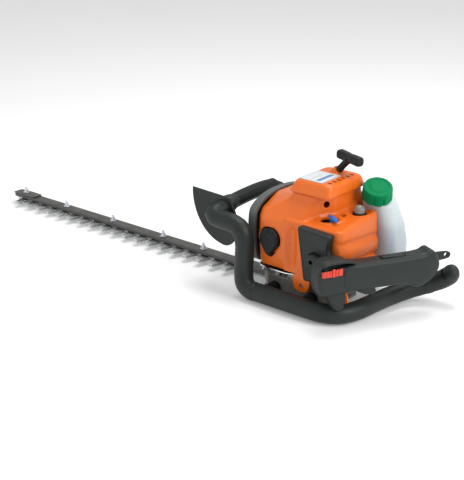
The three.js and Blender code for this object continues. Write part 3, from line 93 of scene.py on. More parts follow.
class Graph:
    """A material's nodes, with short calls to add and join them."""

    def __init__(self, name: str) -> None:
        """Starts an empty material with its output and object coordinates."""
        self.material = bpy.data.materials.new(name)
        self.material.use_nodes = True
        self.tree = self.material.node_tree
        self.tree.nodes.clear()
        self.output = self.tree.nodes.new("ShaderNodeOutputMaterial")
        self.place = self.add("ShaderNodeTexCoord").outputs["Object"]

    def add(self, kind: str, **inputs: object) -> Node:
        """Adds a node.

        Args:
            kind: the node's type.
            inputs: values or sockets for its inputs, with _ for a space.

        Returns:
            The new node.
        """
        node = self.tree.nodes.new(kind)
        for key, value in inputs.items():
            self.feed(node.inputs[key.replace("_", " ")], value)
        return node

    def feed(self, socket: NodeSocket, value: object) -> None:
        """Gives an input a value, or joins a socket to it."""
        if isinstance(value, NodeSocket):
            self.tree.links.new(value, socket)
        else:
            socket.default_value = value

    def noise(self, scale: float, detail: float = 4.0, stretch: Point = (1, 1, 1)) -> NodeSocket:
        """Noise on the object's coordinates, drawn out along an axis by a small stretch."""
        mapped = self.add("ShaderNodeMapping", Vector=self.place, Scale=stretch).outputs["Vector"]
        return self.add("ShaderNodeTexNoise", Vector=mapped, Scale=scale, Detail=detail).outputs["Fac"]

    def ramp(self, factor: NodeSocket, stops: Sequence[tuple[float, Colour]]) -> NodeSocket:
        """A colour for each value of factor, from (position, colour) stops."""
        node = self.add("ShaderNodeValToRGB", Fac=factor)
        elements = node.color_ramp.elements
        for index, (position, colour) in enumerate(stops):
            element = elements[index] if index < 2 else elements.new(position)
            element.position, element.color = position, (*colour, 1.0)
        return node.outputs["Color"]

    def span(self, factor: NodeSocket, low: float, high: float,
             start: float = 0.3, end: float = 0.7) -> NodeSocket:
        """Maps factor from start..end to low..high."""
        node = self.add("ShaderNodeMapRange", Value=factor)
        for name, value in (("From Min", start), ("From Max", end), ("To Min", low), ("To Max", high)):
            node.inputs[name].default_value = value
        return node.outputs["Result"]

    def maths(self, operation: str, first: object, second: object = 0.0) -> NodeSocket:
        """One sum of two values or sockets."""
        node = self.tree.nodes.new("ShaderNodeMath")
        node.operation = operation
        for socket, value in zip(node.inputs, (first, second)):
            self.feed(socket, value)
        return node.outputs[0]

    def mix(self, factor: NodeSocket, first: object, second: object) -> NodeSocket:
        """A blend of two colours or colour sockets."""
        node = self.tree.nodes.new("ShaderNodeMix")
        node.data_type = "RGBA"
        self.tree.links.new(factor, node.inputs["Factor"])
        for socket, value in ((node.inputs[6], first), (node.inputs[7], second)):
            self.feed(socket, value if isinstance(value, NodeSocket) else (*value, 1.0))
        return node.outputs[2]

    def bump(self, height: NodeSocket, depth: float, under: NodeSocket | None = None
             ) -> NodeSocket:
        """A surface relief, depth metres deep, over an earlier one."""
        node = self.add("ShaderNodeBump", Height=height, Distance=depth, Strength=1.0)
        if under is not None:
            self.tree.links.new(under, node.inputs["Normal"])
        return node.outputs["Normal"]

    def surface(self, **inputs: object) -> Material:
        """Ends the material in one Principled shader with these inputs."""
        shader = self.add("ShaderNodeBsdfPrincipled", **inputs)
        self.tree.links.new(shader.outputs[0], self.output.inputs["Surface"])
        return self.material


def tinted(colour: Colour, share: float) -> Colour:
    """The colour made lighter or darker by a share."""
    return tuple(min(1.0, c * share) for c in colour)


@dataclass(frozen=True)
class MouldedPlastic:
    """Injection-moulded plastic with a fine spark-eroded grain, slight mottling and worn edges."""

    name: str
    colour: Colour
    roughness: float = 0.42
    mottle: float = 0.06
    grain: float = 2600.0
    depth: float = 0.00003
    wear: float = 1.25
    specular: float = 0.5

    def build(self) -> Material:
        """Makes the material."""
        g = Graph(self.name)
        cloud = g.noise(14.0, 5.0)
        base = g.ramp(cloud, [(0.3, tinted(self.colour, 1 - self.mottle)),
                              (0.7, tinted(self.colour, 1 + self.mottle))])
        edge = g.span(g.add("ShaderNodeNewGeometry").outputs["Pointiness"], 0.0, 0.6, 0.52, 0.6)
        scuff = g.maths("MULTIPLY", edge, g.span(g.noise(180.0, 6.0), 0.0, 1.0, 0.45, 0.65))
        colour = g.mix(scuff, base, tinted(self.colour, self.wear))
        rough = g.span(g.noise(55.0, 6.0), self.roughness - 0.05, self.roughness + 0.07)
        relief = g.bump(g.noise(self.grain, 2.0), self.depth)
        return g.surface(Base_Color=colour, Roughness=rough, Normal=relief,
                         Specular_IOR_Level=self.specular)


@dataclass(frozen=True)
class SteelFinish:
    """Bare or coated steel, ground or drawn along one axis, with stains and bright edges."""

    name: str
    colour: Colour
    stain: Colour
    roughness: float = 0.32
    metallic: float = 1.0
    stretch: Point = (0.05, 1, 1)
    scratch: float = 1800.0
    depth: float = 0.00002
    edge: float = 1.5

    def build(self) -> Material:
        """Makes the material."""
        g = Graph(self.name)
        stains = g.span(g.noise(45.0, 7.0), 0.0, 1.0, 0.42, 0.7)
        base = g.mix(stains, self.colour, self.stain)
        lines = g.noise(self.scratch, 3.0, self.stretch)
        drawn = g.mix(g.span(lines, 0.0, 0.35), base, tinted(self.colour, 0.72))
        edge = g.span(g.add("ShaderNodeNewGeometry").outputs["Pointiness"], 0.0, 0.8, 0.52, 0.58)
        colour = g.mix(edge, drawn, tinted(self.colour, self.edge))
        rough = g.span(g.noise(120.0, 5.0), self.roughness - 0.08, self.roughness + 0.14)
        return g.surface(Base_Color=colour, Roughness=rough, Metallic=self.metallic,
                         Normal=g.bump(lines, self.depth))


@dataclass(frozen=True)
class CastFinish:
    """Die-cast metal: a grainy skin with shallow pits and patches of dust."""

    name: str
    colour: Colour
    dust: Colour
    metallic: float = 0.55
    roughness: float = 0.5

    def build(self) -> Material:
        """Makes the material."""
        g = Graph(self.name)
        dusty = g.span(g.noise(38.0, 8.0), 0.0, 0.85, 0.4, 0.68)
        colour = g.mix(dusty, self.colour, self.dust)
        pits = g.noise(900.0, 6.0)
        rough = g.span(g.noise(75.0, 6.0), self.roughness - 0.1, self.roughness + 0.15)
        return g.surface(Base_Color=colour, Roughness=rough, Metallic=self.metallic,
                         Normal=g.bump(g.noise(120.0, 3.0), 0.0003, g.bump(pits, 0.00012)))


@dataclass(frozen=True)
class TankFinish:
    """Milky blow-moulded plastic that glows a little and darkens where the fuel stands."""

    name: str
    colour: Colour
    fuel: Colour
    level: float

    def build(self) -> Material:
        """Makes the material."""
        g = Graph(self.name)
        height = g.add("ShaderNodeSeparateXYZ", Vector=g.place).outputs["Z"]
        wavy = g.maths("ADD", height, g.span(g.noise(30.0), -0.004, 0.004))
        wet = g.span(wavy, 1.0, 0.0, self.level - 0.006, self.level + 0.006)
        cloud = g.ramp(g.noise(22.0, 5.0), [(0.3, tinted(self.colour, 0.95)), (0.7, self.colour)])
        colour = g.mix(wet, cloud, self.fuel)
        rough = g.span(g.noise(60.0, 5.0), 0.3, 0.42)
        return g.surface(Base_Color=colour, Roughness=rough, Subsurface_Weight=0.35,
                         Subsurface_Radius=(0.012, 0.012, 0.012), Subsurface_Scale=1.0,
                         Normal=g.bump(g.noise(260.0, 4.0), 0.00012))


@dataclass(frozen=True)
class ClearFinish:
    """Clear soft plastic with a faint haze."""

    name: str
    colour: Colour

    def build(self) -> Material:
        """Makes the material."""
        g = Graph(self.name)
        tone = g.ramp(g.noise(300.0), [(0.3, tinted(self.colour, 0.9)), (0.7, self.colour)])
        rough = g.span(g.noise(140.0, 4.0), 0.06, 0.2)
        return g.surface(Base_Color=tone, Roughness=rough, Transmission_Weight=0.8, IOR=1.42)


@dataclass(frozen=True)
class RopeFinish:
    """Braided cord: two crossing sets of slanting strands."""

    name: str
    colour: Colour

    def build(self) -> Material:
        """Makes the material."""
        g = Graph(self.name)
        waves = []
        for turn in (0.6, -0.6):
            turned = g.add("ShaderNodeMapping", Vector=g.place, Rotation=(turn, 0.7, turn))
            wave = g.add("ShaderNodeTexWave", Vector=turned.outputs["Vector"], Scale=170.0)
            waves.append(wave.outputs["Fac"])
        braid = g.maths("MAXIMUM", waves[0], waves[1])
        colour = g.ramp(braid, [(0.35, tinted(self.colour, 0.45)), (0.85, self.colour)])
        rough = g.span(g.noise(400.0), 0.75, 0.95)
        return g.surface(Base_Color=colour, Roughness=rough, Normal=g.bump(braid, 0.0004))


@dataclass(frozen=True)
class LabelFinish:
    """A silver sticker with a soft printed band and a thin border."""

    name: str
    colour: Colour
    print_colour: Colour
    low: Point
    high: Point

    def build(self) -> Material:
        """Makes the material."""
        g = Graph(self.name)
        parts = g.add("ShaderNodeSeparateXYZ", Vector=g.place)
        across = g.span(parts.outputs["X"], 0.0, 1.0, self.low[0], self.high[0])
        along = g.span(parts.outputs["Y"], 0.0, 1.0, self.low[1], self.high[1])

        def band(value: NodeSocket, start: float, end: float) -> NodeSocket:
            """1 where value lies between start and end."""
            above = g.maths("GREATER_THAN", value, start)
            return g.maths("MULTIPLY", above, g.maths("LESS_THAN", value, end))

        printed = g.maths("MULTIPLY", band(across, 0.62, 0.8), band(along, 0.12, 0.88))
        thin = g.maths("MULTIPLY", band(across, 0.4, 0.43), band(along, 0.12, 0.7))
        frame_in = g.maths("MULTIPLY", band(across, 0.05, 0.95), band(along, 0.03, 0.97))
        silver = g.ramp(g.noise(90.0, 6.0), [(0.3, tinted(self.colour, 0.94)), (0.7, self.colour)])
        edged = g.mix(frame_in, tinted(self.colour, 0.72), silver)
        lined = g.mix(thin, edged, tinted(self.colour, 0.5))
        colour = g.mix(printed, lined, self.print_colour)
        rough = g.span(g.noise(150.0), 0.28, 0.4)
        return g.surface(Base_Color=colour, Roughness=rough, Metallic=0.15,
                         Normal=g.bump(g.noise(500.0), 0.00004))


@dataclass
class Palette:
    """Every finish by the slot that it belongs to."""

    made: dict[Slot, Material] = field(default_factory=dict)
    shield: Material | None = None

    def build(self) -> None:
        """Makes all the materials and dresses the carried-over nodes."""
        low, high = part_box("label_plate")
        finishes = {
            Slot.ORANGE: MouldedPlastic(
                "orange_shell", (0.78, 0.145, 0.008), 0.31, 0.05, 2200.0, 0.00002, 1.1, 0.45),
            Slot.DARK: MouldedPlastic(
                "charcoal_shell", (0.0115, 0.0175, 0.016), 0.47, 0.1, 2400.0, 0.00005, 2.2, 0.38),
            Slot.RUBBER: MouldedPlastic(
                "black_rubber", (0.006, 0.0085, 0.008), 0.55, 0.12, 1600.0, 0.00006, 1.9, 0.32),
            Slot.BLUE: MouldedPlastic("blue_lever", (0.012, 0.16, 0.55), 0.35, 0.06),
            Slot.GREEN: MouldedPlastic("green_cap", (0.0, 0.23, 0.078), 0.55, 0.06, specular=0.1),
            Slot.RED: MouldedPlastic("red_slider", (0.66, 0.05, 0.026), 0.4, 0.08),
            Slot.CAST: CastFinish("die_cast_case", (0.29, 0.28, 0.265), (0.17, 0.15, 0.13)),
            Slot.GROUND_STEEL: SteelFinish("ground_blade", (0.42, 0.43, 0.43), (0.24, 0.235, 0.225), 0.26),
            Slot.BAR_STEEL: SteelFinish("dark_bar", (0.078, 0.077, 0.074), (0.125, 0.118, 0.11), 0.4, 0.5),
            Slot.ZINC: SteelFinish(
                "zinc_plate", (0.66, 0.7, 0.74), (0.5, 0.53, 0.58), 0.25, 1.0, (1, 1, 0.2)),
            Slot.ENGINE_STEEL: SteelFinish("engine_steel", (0.35, 0.34, 0.33), (0.2, 0.17, 0.14), 0.42),
            Slot.CERAMIC: MouldedPlastic("plug_ceramic", (0.8, 0.79, 0.76), 0.15, 0.03, 500.0, 0.00001),
            Slot.FOAM: MouldedPlastic("filter_foam", (0.1, 0.1, 0.11), 0.95, 0.3, 700.0, 0.0009, 1.5),
            Slot.CLEAR: ClearFinish("clear_bulb", (0.93, 0.9, 0.88)),
            Slot.ROPE: RopeFinish("braided_rope", (0.62, 0.6, 0.55)),
            Slot.LABEL: LabelFinish("silver_label", (0.72, 0.75, 0.77), (0.14, 0.24, 0.46), low, high),
            Slot.TANK: TankFinish("milky_tank", (0.6, 0.66, 0.68), (0.5, 0.56, 0.6), 0.118),
        }
        self.made = {slot: finish.build() for slot, finish in finishes.items()}
        self.shield = MouldedPlastic(
            "grey_shield", (0.088, 0.1, 0.096), 0.5, 0.1, 2400.0, 0.00005, 1.5).build()
        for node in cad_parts.values():
            slot = Slot(node.data.materials[0].name.split(".")[0])
            node.material_slots[0].link = "OBJECT"
            node.material_slots[0].material = self.made[slot]


PALETTE = Palette()


def placed(name: str, data: ID) -> Object:
    """A new object with this data, in the scene at the origin."""
    made = bpy.data.objects.new(name, data)
    bpy.context.scene.collection.objects.link(made)
    return made


def merged_copy(node: str) -> BMesh:
    """A copy of a node's mesh with its triangles joined into whole faces."""
    bm = bmesh.new()
    bm.from_mesh(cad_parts[node].data)
    bmesh.ops.remove_doubles(bm, verts=bm.verts, dist=MERGE_MM * MM)
    bmesh.ops.dissolve_limit(bm, angle_limit=math.radians(1), verts=bm.verts, edges=bm.edges)
    return bm


def set_piece(bm: BMesh, name: str, body: str, slot: Slot, nodes: Iterable[str] = (),
              sharp: float = 38.0, edge: float = 0.0, segments: int = 2,
              stretch: tuple[Vector, Vector] | None = None) -> Object:
    """Turns a bmesh into a piece that rides on a body.

    Args:
        bm: the mesh, freed here.
        name: the piece's name.
        body: the body it moves with.
        slot: the material slot of its finish.
        nodes: the nodes that it stands for.
        sharp: edges over this angle in degrees stay crisp.
        edge: radius in mm that a modifier gives to edges over 30 degrees.
        segments: steps in that radius.
        stretch: for a rope, the place that stays with the machine and the one that goes with the body; when
            given, the piece stays where it is on no body, and the two places are not used.

    Returns:
        The new object.
    """
    mesh = bpy.data.meshes.new(name)
    bm.normal_update()
    bm.to_mesh(mesh)
    bm.free()
    mesh.shade_smooth()
    mesh.set_sharp_from_angle(angle=math.radians(sharp))
    mesh.materials.append(PALETTE.made[slot])
    piece = placed(name, mesh)
    if edge:
        bevel = piece.modifiers.new("rounded edges", "BEVEL")
        bevel.width, bevel.segments = edge * MM, segments
        bevel.limit_method, bevel.angle_limit = "ANGLE", math.radians(30)
        bevel.harden_normals = True
    if stretch:
        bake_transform(piece)
    else:
        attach(piece, body)
    if nodes:
        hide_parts(*nodes)
    LOG.info("%s on %s", name, body)
    return piece


def refined(node: str, body: str, slot: Slot, edge: float = 0.6, segments: int = 2) -> Object:
    """A node's own shape with its edges rounded, in its place."""
    return set_piece(merged_copy(node), node + "_shaped", body, slot, [node], edge=edge, segments=segments)


# ---------------------------------------------------------------- Shaping


def bell(value: float, centre: float, width: float) -> float:
    """1 at the centre, falling smoothly to nothing over a few widths."""
    return math.exp(-((value - centre) / width) ** 2)


def ease_between(value: float, start: float, end: float) -> float:
    """0 before start, 1 after end, smooth between."""
    share = min(1.0, max(0.0, (value - start) / (end - start)))
    return share * share * (3 - 2 * share)


def at(*point: float) -> Vector:
    """A place given in millimetres."""
    return Vector(point) * MM


def rounded_outline(points: Sequence[Vector], times: int = 2) -> list[Vector]:
    """Cuts each corner of a closed outline at its quarters, several times over."""
    for _ in range(times):
        pairs = zip(points, [*points[1:], points[0]])
        points = [p for a, b in pairs for p in (a.lerp(b, 0.25), a.lerp(b, 0.75))]
    return list(points)


def cornered(points: Sequence[Vector], reach: float) -> list[Vector]:
    """Rounds a closed outline's corners only, within reach mm of each."""
    spread = []
    for before, here, after in zip([points[-1], *points[:-1]], points, [*points[1:], points[0]]):
        for other, first in ((before, True), (after, False)):
            step = min(reach * MM, (other - here).length * 0.45)
            spot = here + (other - here).normalized() * step
            spread += [spot, here] if first else [spot]
    return rounded_outline(spread, 2)


def smooth_path(points: Sequence[Point], count: int) -> list[Vector]:
    """A smooth curve through points.

    Args:
        points: places in millimetres.
        count: how many even steps to return it in.

    Returns:
        Places in metres along the curve.
    """
    spots = [at(*p) for p in points]
    spots = [spots[0] * 2 - spots[1], *spots, spots[-1] * 2 - spots[-2]]
    fine: list[Vector] = []
    for p0, p1, p2, p3 in zip(spots, spots[1:], spots[2:], spots[3:]):
        t1 = (p1 - p0).length ** 0.5
        t2 = t1 + (p2 - p1).length ** 0.5
        t3 = t2 + (p3 - p2).length ** 0.5
        for k in range(CURVE_STEPS):
            t = t1 + (t2 - t1) * k / CURVE_STEPS
            a1, a2 = p0.lerp(p1, t / t1), p1.lerp(p2, (t - t1) / (t2 - t1))
            a3 = p2.lerp(p3, (t - t2) / (t3 - t2))
            b1, b2 = a1.lerp(a2, t / t2), a2.lerp(a3, (t - t1) / (t3 - t1))
            fine.append(b1.lerp(b2, (t - t1) / (t2 - t1)))
    fine.append(spots[-2])
    reach = [0.0]
    for a, b in zip(fine, fine[1:]):
        reach.append(reach[-1] + (b - a).length)
    path, index = [], 0
    for k in range(count):
        goal = reach[-1] * k / (count - 1)
        while index < len(fine) - 2 and reach[index + 1] < goal:
            index += 1
        share = (goal - reach[index]) / max(1e-9, reach[index + 1] - reach[index])
        path.append(fine[index].lerp(fine[index + 1], share))
    return path


def sweep(bm: BMesh, path: Sequence[Vector], radius_at: Callable[[float], float],
          sides: int = 28, flat: float = 1.0) -> None:
    """Draws a closed tube by extruding a ring of edges along a path.

    Args:
        bm: the mesh that it is added to.
        path: places in metres.
        radius_at: radius in millimetres at a share of the path.
        sides: edges in the ring.
        flat: height of the section over its width.
    """
    side = (path[1] - path[0]).cross(ALONG_Z)
    side = side if side.length > 1e-6 else ALONG_X
    spots, last = [], len(path) - 1
    for i, place in enumerate(path):
        ahead = (path[min(i + 1, last)] - path[max(i - 1, 0)]).normalized()
        side = (side - ahead * side.dot(ahead)).normalized()
        radius = radius_at(i / last) * MM
        spot = Matrix((side * radius, ahead.cross(side) * radius * flat, ahead)).transposed().to_4x4()
        spot.translation = place
        spots.append(spot)
    ring = bmesh.ops.create_circle(bm, segments=sides, radius=1.0, matrix=spots[0])["verts"]
    edges = list({e for v in ring for e in v.link_edges})
    start = edges
    for before, after in zip(spots, spots[1:]):
        grown = bmesh.ops.extrude_edge_only(bm, edges=edges)["geom"]
        fresh = {g for g in grown if isinstance(g, BMVert)}
        edges = [g for g in grown if isinstance(g, BMEdge) and fresh.issuperset(g.verts)]
        bmesh.ops.transform(bm, matrix=after @ before.inverted(), verts=list(fresh))
    bmesh.ops.edgeloop_fill(bm, edges=start)
    bmesh.ops.edgeloop_fill(bm, edges=edges)
    bmesh.ops.recalc_face_normals(bm, faces=bm.faces)


def round_over(bm: BMesh, face: BMFace, radius: float, steps: int = 5) -> None:
    """Rounds a face's rim by insets that rise along a quarter circle."""
    turn = [math.pi / 2 * k / steps for k in range(steps + 1)]
    for a, b in zip(turn, turn[1:]):
        bmesh.ops.inset_region(bm, faces=[face], use_even_offset=True,
                               thickness=radius * (math.cos(a) - math.cos(b)) * MM,
                               depth=radius * (math.sin(b) - math.sin(a)) * MM)


def shrink_over(bm: BMesh, face: BMFace, radius: float, steps: int = 5) -> BMFace:
    """Rounds the rim of a compact face that is square to an axis, by drawing it in to its middle.

    Args:
        bm: the mesh.
        face: the face, whose normal points out.
        radius: of the rim, in millimetres; below 0 it sinks instead.
        steps: rings in the rim.

    Returns:
        The face at the end.
    """
    face.normal_update()
    way = face.normal.copy()
    turn = [math.pi / 2 * k / steps for k in range(steps + 1)]
    for a, b in zip(turn, turn[1:]):
        corners = [v.co for v in face.verts]
        low, high = (Vector([pick(c[i] for c in corners) for i in range(3)]) for pick in (min, max))
        middle, inset = (low + high) / 2, abs(radius) * (math.cos(a) - math.cos(b)) * MM
        shares = [1 - inset / half if half > inset else 1.0 for half in (high - low) / 2]
        grown = bmesh.ops.extrude_discrete_faces(bm, faces=[face])["faces"]
        face = grown[0]
        centre = Matrix.Translation(middle)
        bmesh.ops.transform(bm, matrix=centre @ Matrix.Diagonal((*shares, 1.0)) @ centre.inverted(),
                            verts=list(face.verts))
        bmesh.ops.translate(bm, verts=list(face.verts), vec=way * radius * (math.sin(b) - math.sin(a)) * MM)
    return face


def plate(bm: BMesh, outline: Sequence[Vector], out: Vector, front: float,
          back: float = 0.0, compact: bool = False) -> BMFace:
    """A solid drawn out of an outline, with rounded rims.

    Args:
        bm: the mesh that it is added to.
        outline: places in metres, in one plane.
        out: the way and distance that it is drawn, in metres.
        front: radius of the rim at the far end, in millimetres.
        back: radius of the rim at the outline's own plane.
        compact: whether the outline is short and square to an axis, so that its rim is drawn to its middle.

    Returns:
        The flat face left at the far end.
    """
    known = set(bm.faces)
    base = bm.faces.new([bm.verts.new(p) for p in outline])
    base.normal_update()
    if base.normal.dot(out) > 0:
        base.normal_flip()
    grown = bmesh.ops.extrude_face_region(bm, geom=[base], use_keep_orig=True)["geom"]
    top = next(g for g in grown if isinstance(g, BMFace))
    top.normal_update()
    if top.normal.dot(out) < 0:
        top.normal_flip()
    way = out.normalized()
    bmesh.ops.translate(bm, verts=list(top.verts), vec=out - way * front * MM)
    if compact:
        top = shrink_over(bm, top, front)
    elif front:
        round_over(bm, top, front)
    if back:
        bmesh.ops.translate(bm, verts=list(base.verts), vec=way * back * MM)
        round_over(bm, base, back)
    bmesh.ops.recalc_face_normals(bm, faces=[f for f in bm.faces if f not in known])
    return top


def hull(bm: BMesh, points: Iterable[Point]) -> None:
    """The smallest convex solid round points in millimetres."""
    verts = [bm.verts.new(at(*p)) for p in points]
    made = bmesh.ops.convex_hull(bm, input=verts)
    spare = {g for g in made["geom_interior"] + made["geom_unused"] if isinstance(g, BMVert)}
    bmesh.ops.delete(bm, geom=list(spare), context="VERTS")


def cylinder(bm: BMesh, start: Vector, end: Vector, radius: float, tip: float | None = None,
             sides: int = 32) -> list[BMVert]:
    """A round bar between two places in metres, whose radius may change along it."""
    axis = end - start
    turn = axis.to_track_quat("Z", "Y").to_matrix().to_4x4()
    return bmesh.ops.create_cone(bm, cap_ends=True, segments=sides, radius1=radius * MM,
                                 radius2=(radius if tip is None else tip) * MM, depth=axis.length,
                                 matrix=Matrix.Translation((start + end) / 2) @ turn)["verts"]


def block(bm: BMesh, low: Point, high: Point, place: Matrix | None = None, edge: float = 0.0
          ) -> None:
    """A box between two corners in millimetres, with bevelled edges."""
    a, b = at(*low), at(*high)
    size = Matrix.Diagonal((*(b - a), 1.0))
    verts = bmesh.ops.create_cube(bm, size=1.0, matrix=Matrix.Translation((a + b) / 2) @ size)["verts"]
    if edge:
        edges = list({e for v in verts for e in v.link_edges})
        made = bmesh.ops.bevel(bm, geom=edges, offset=edge * MM, segments=2, profile=0.5,
                               affect="EDGES", material=-1)
        verts = list({v for f in made["faces"] for v in f.verts})
    if place is not None:
        bmesh.ops.transform(bm, matrix=place, verts=verts)


def levels(x0: float, x1: float, y0: float, y1: float, r: float, z: float, steps: int = 5) -> list[Point]:
    """A level rectangle's corner points with rounded corners."""
    ring = []
    centres = ((x1 - r, y1 - r), (x0 + r, y1 - r), (x0 + r, y0 + r), (x1 - r, y0 + r))
    for quarter, (x, y) in enumerate(centres):
        for i in range(steps + 1):
            angle = (quarter + i / steps) * math.pi / 2
            ring.append((x + r * math.cos(angle), y + r * math.sin(angle), z))
    return ring


def changed(bm: BMesh, kind: str, **settings: object) -> BMesh:
    """The mesh after one modifier.

    Args:
        bm: the mesh, freed here.
        kind: the modifier's type.
        settings: its settings.

    Returns:
        A new mesh.
    """
    mesh = bpy.data.meshes.new("in_work")
    bm.to_mesh(mesh)
    bm.free()
    work = placed("in_work", mesh)
    modifier = work.modifiers.new("step", kind)
    for key, value in settings.items():
        setattr(modifier, key, value)
    done = bpy.data.meshes.new_from_object(work.evaluated_get(bpy.context.evaluated_depsgraph_get()))
    fresh = bmesh.new()
    fresh.from_mesh(done)
    bpy.data.objects.remove(work)
    bpy.data.meshes.remove(mesh)
    bpy.data.meshes.remove(done)
    return fresh


def combined(bm: BMesh, other: BMesh, way: str = "DIFFERENCE") -> BMesh:
    """One mesh cut by, or joined to, another. Both are freed."""
    mesh = bpy.data.meshes.new("tool")
    other.to_mesh(mesh)
    other.free()
    tool = placed("tool", mesh)
    made = changed(bm, "BOOLEAN", object=tool, operation=way, solver="EXACT", use_self=True)
    bpy.data.objects.remove(tool)
    bpy.data.meshes.remove(mesh)
    return made


def relaxed(bm: BMesh, times: int) -> BMesh:
    """The mesh smoothed over that many times."""
    for _ in range(times):
        bmesh.ops.smooth_vert(bm, verts=bm.verts, factor=0.5,
                              use_axis_x=True, use_axis_y=True, use_axis_z=True)
    return bm


def melted(bm: BMesh, grain: float, times: int) -> BMesh:
    """Overlapping solids made one smooth body, rebuilt at a grain in mm and smoothed over."""
    return relaxed(changed(bm, "REMESH", mode="VOXEL", voxel_size=grain * MM), times)


@dataclass
class Cutter:
    """The bar, both blades and the bolts that hold them."""

    bolts: int = 5
    edge: float = 0.35

    def build(self) -> None:
        """Makes the cutter's pieces."""
        refined("guide_bar", "machine", Slot.BAR_STEEL, 0.7)
        refined("bar_end_plate", "machine", Slot.BAR_STEEL, 0.6)
        for side in ("lower", "upper"):
            refined(f"{side}_blade", f"{side}_blade", Slot.GROUND_STEEL, self.edge, 1)
        for index in range(1, self.bolts + 1):
            refined(f"bar_bolt_{index}", "machine", Slot.ZINC, 0.4)
            refined(f"bar_nut_{index}", "machine", Slot.ZINC, 0.5)


@dataclass
class GearCase:
    """The cast case under the engine."""

    def build(self) -> None:
        """Makes the case's pieces."""
        refined("gear_case", "machine", Slot.CAST, 1.0)
        refined("gear_case_cover", "machine", Slot.CAST, 0.8)
        tray = bmesh.new()
        outline = [at(x, y, 44.5) for x, y in ((-58, -34), (-44, -47), (14, -47), (14, -30),
                                               (56, -30), (56, 60), (-58, 60))]
        plate(tray, rounded_outline(outline, 1), at(0, 0, 1.6), 0.5)
        set_piece(tray, "heat_plate", "machine", Slot.ZINC, sharp=35)
        feet = bmesh.new()
        for x, y in ((-48, -28), (-20, -36), (6, -36), (60, -26), (-50, 50), (60, 52)):
            cylinder(feet, at(x, y, 33.8), at(x, y, 44.6), 4.2, 3.6, 20)
        set_piece(feet, "engine_standoffs", "machine", Slot.ENGINE_STEEL, edge=0.4)
        heads = bmesh.new()
        for x, y in ((-50, -31), (62, -31), (63, 54), (-50, 54), (0, -35), (5, 57)):
            cylinder(heads, at(x, y, 33.6), at(x, y, 37.2), 3.4, sides=24)
            cylinder(heads, at(x, y, 36.0), at(x, y, 38.0), 2.0, sides=6)
        set_piece(heads, "gear_case_screws", "machine", Slot.ZINC, edge=0.3)


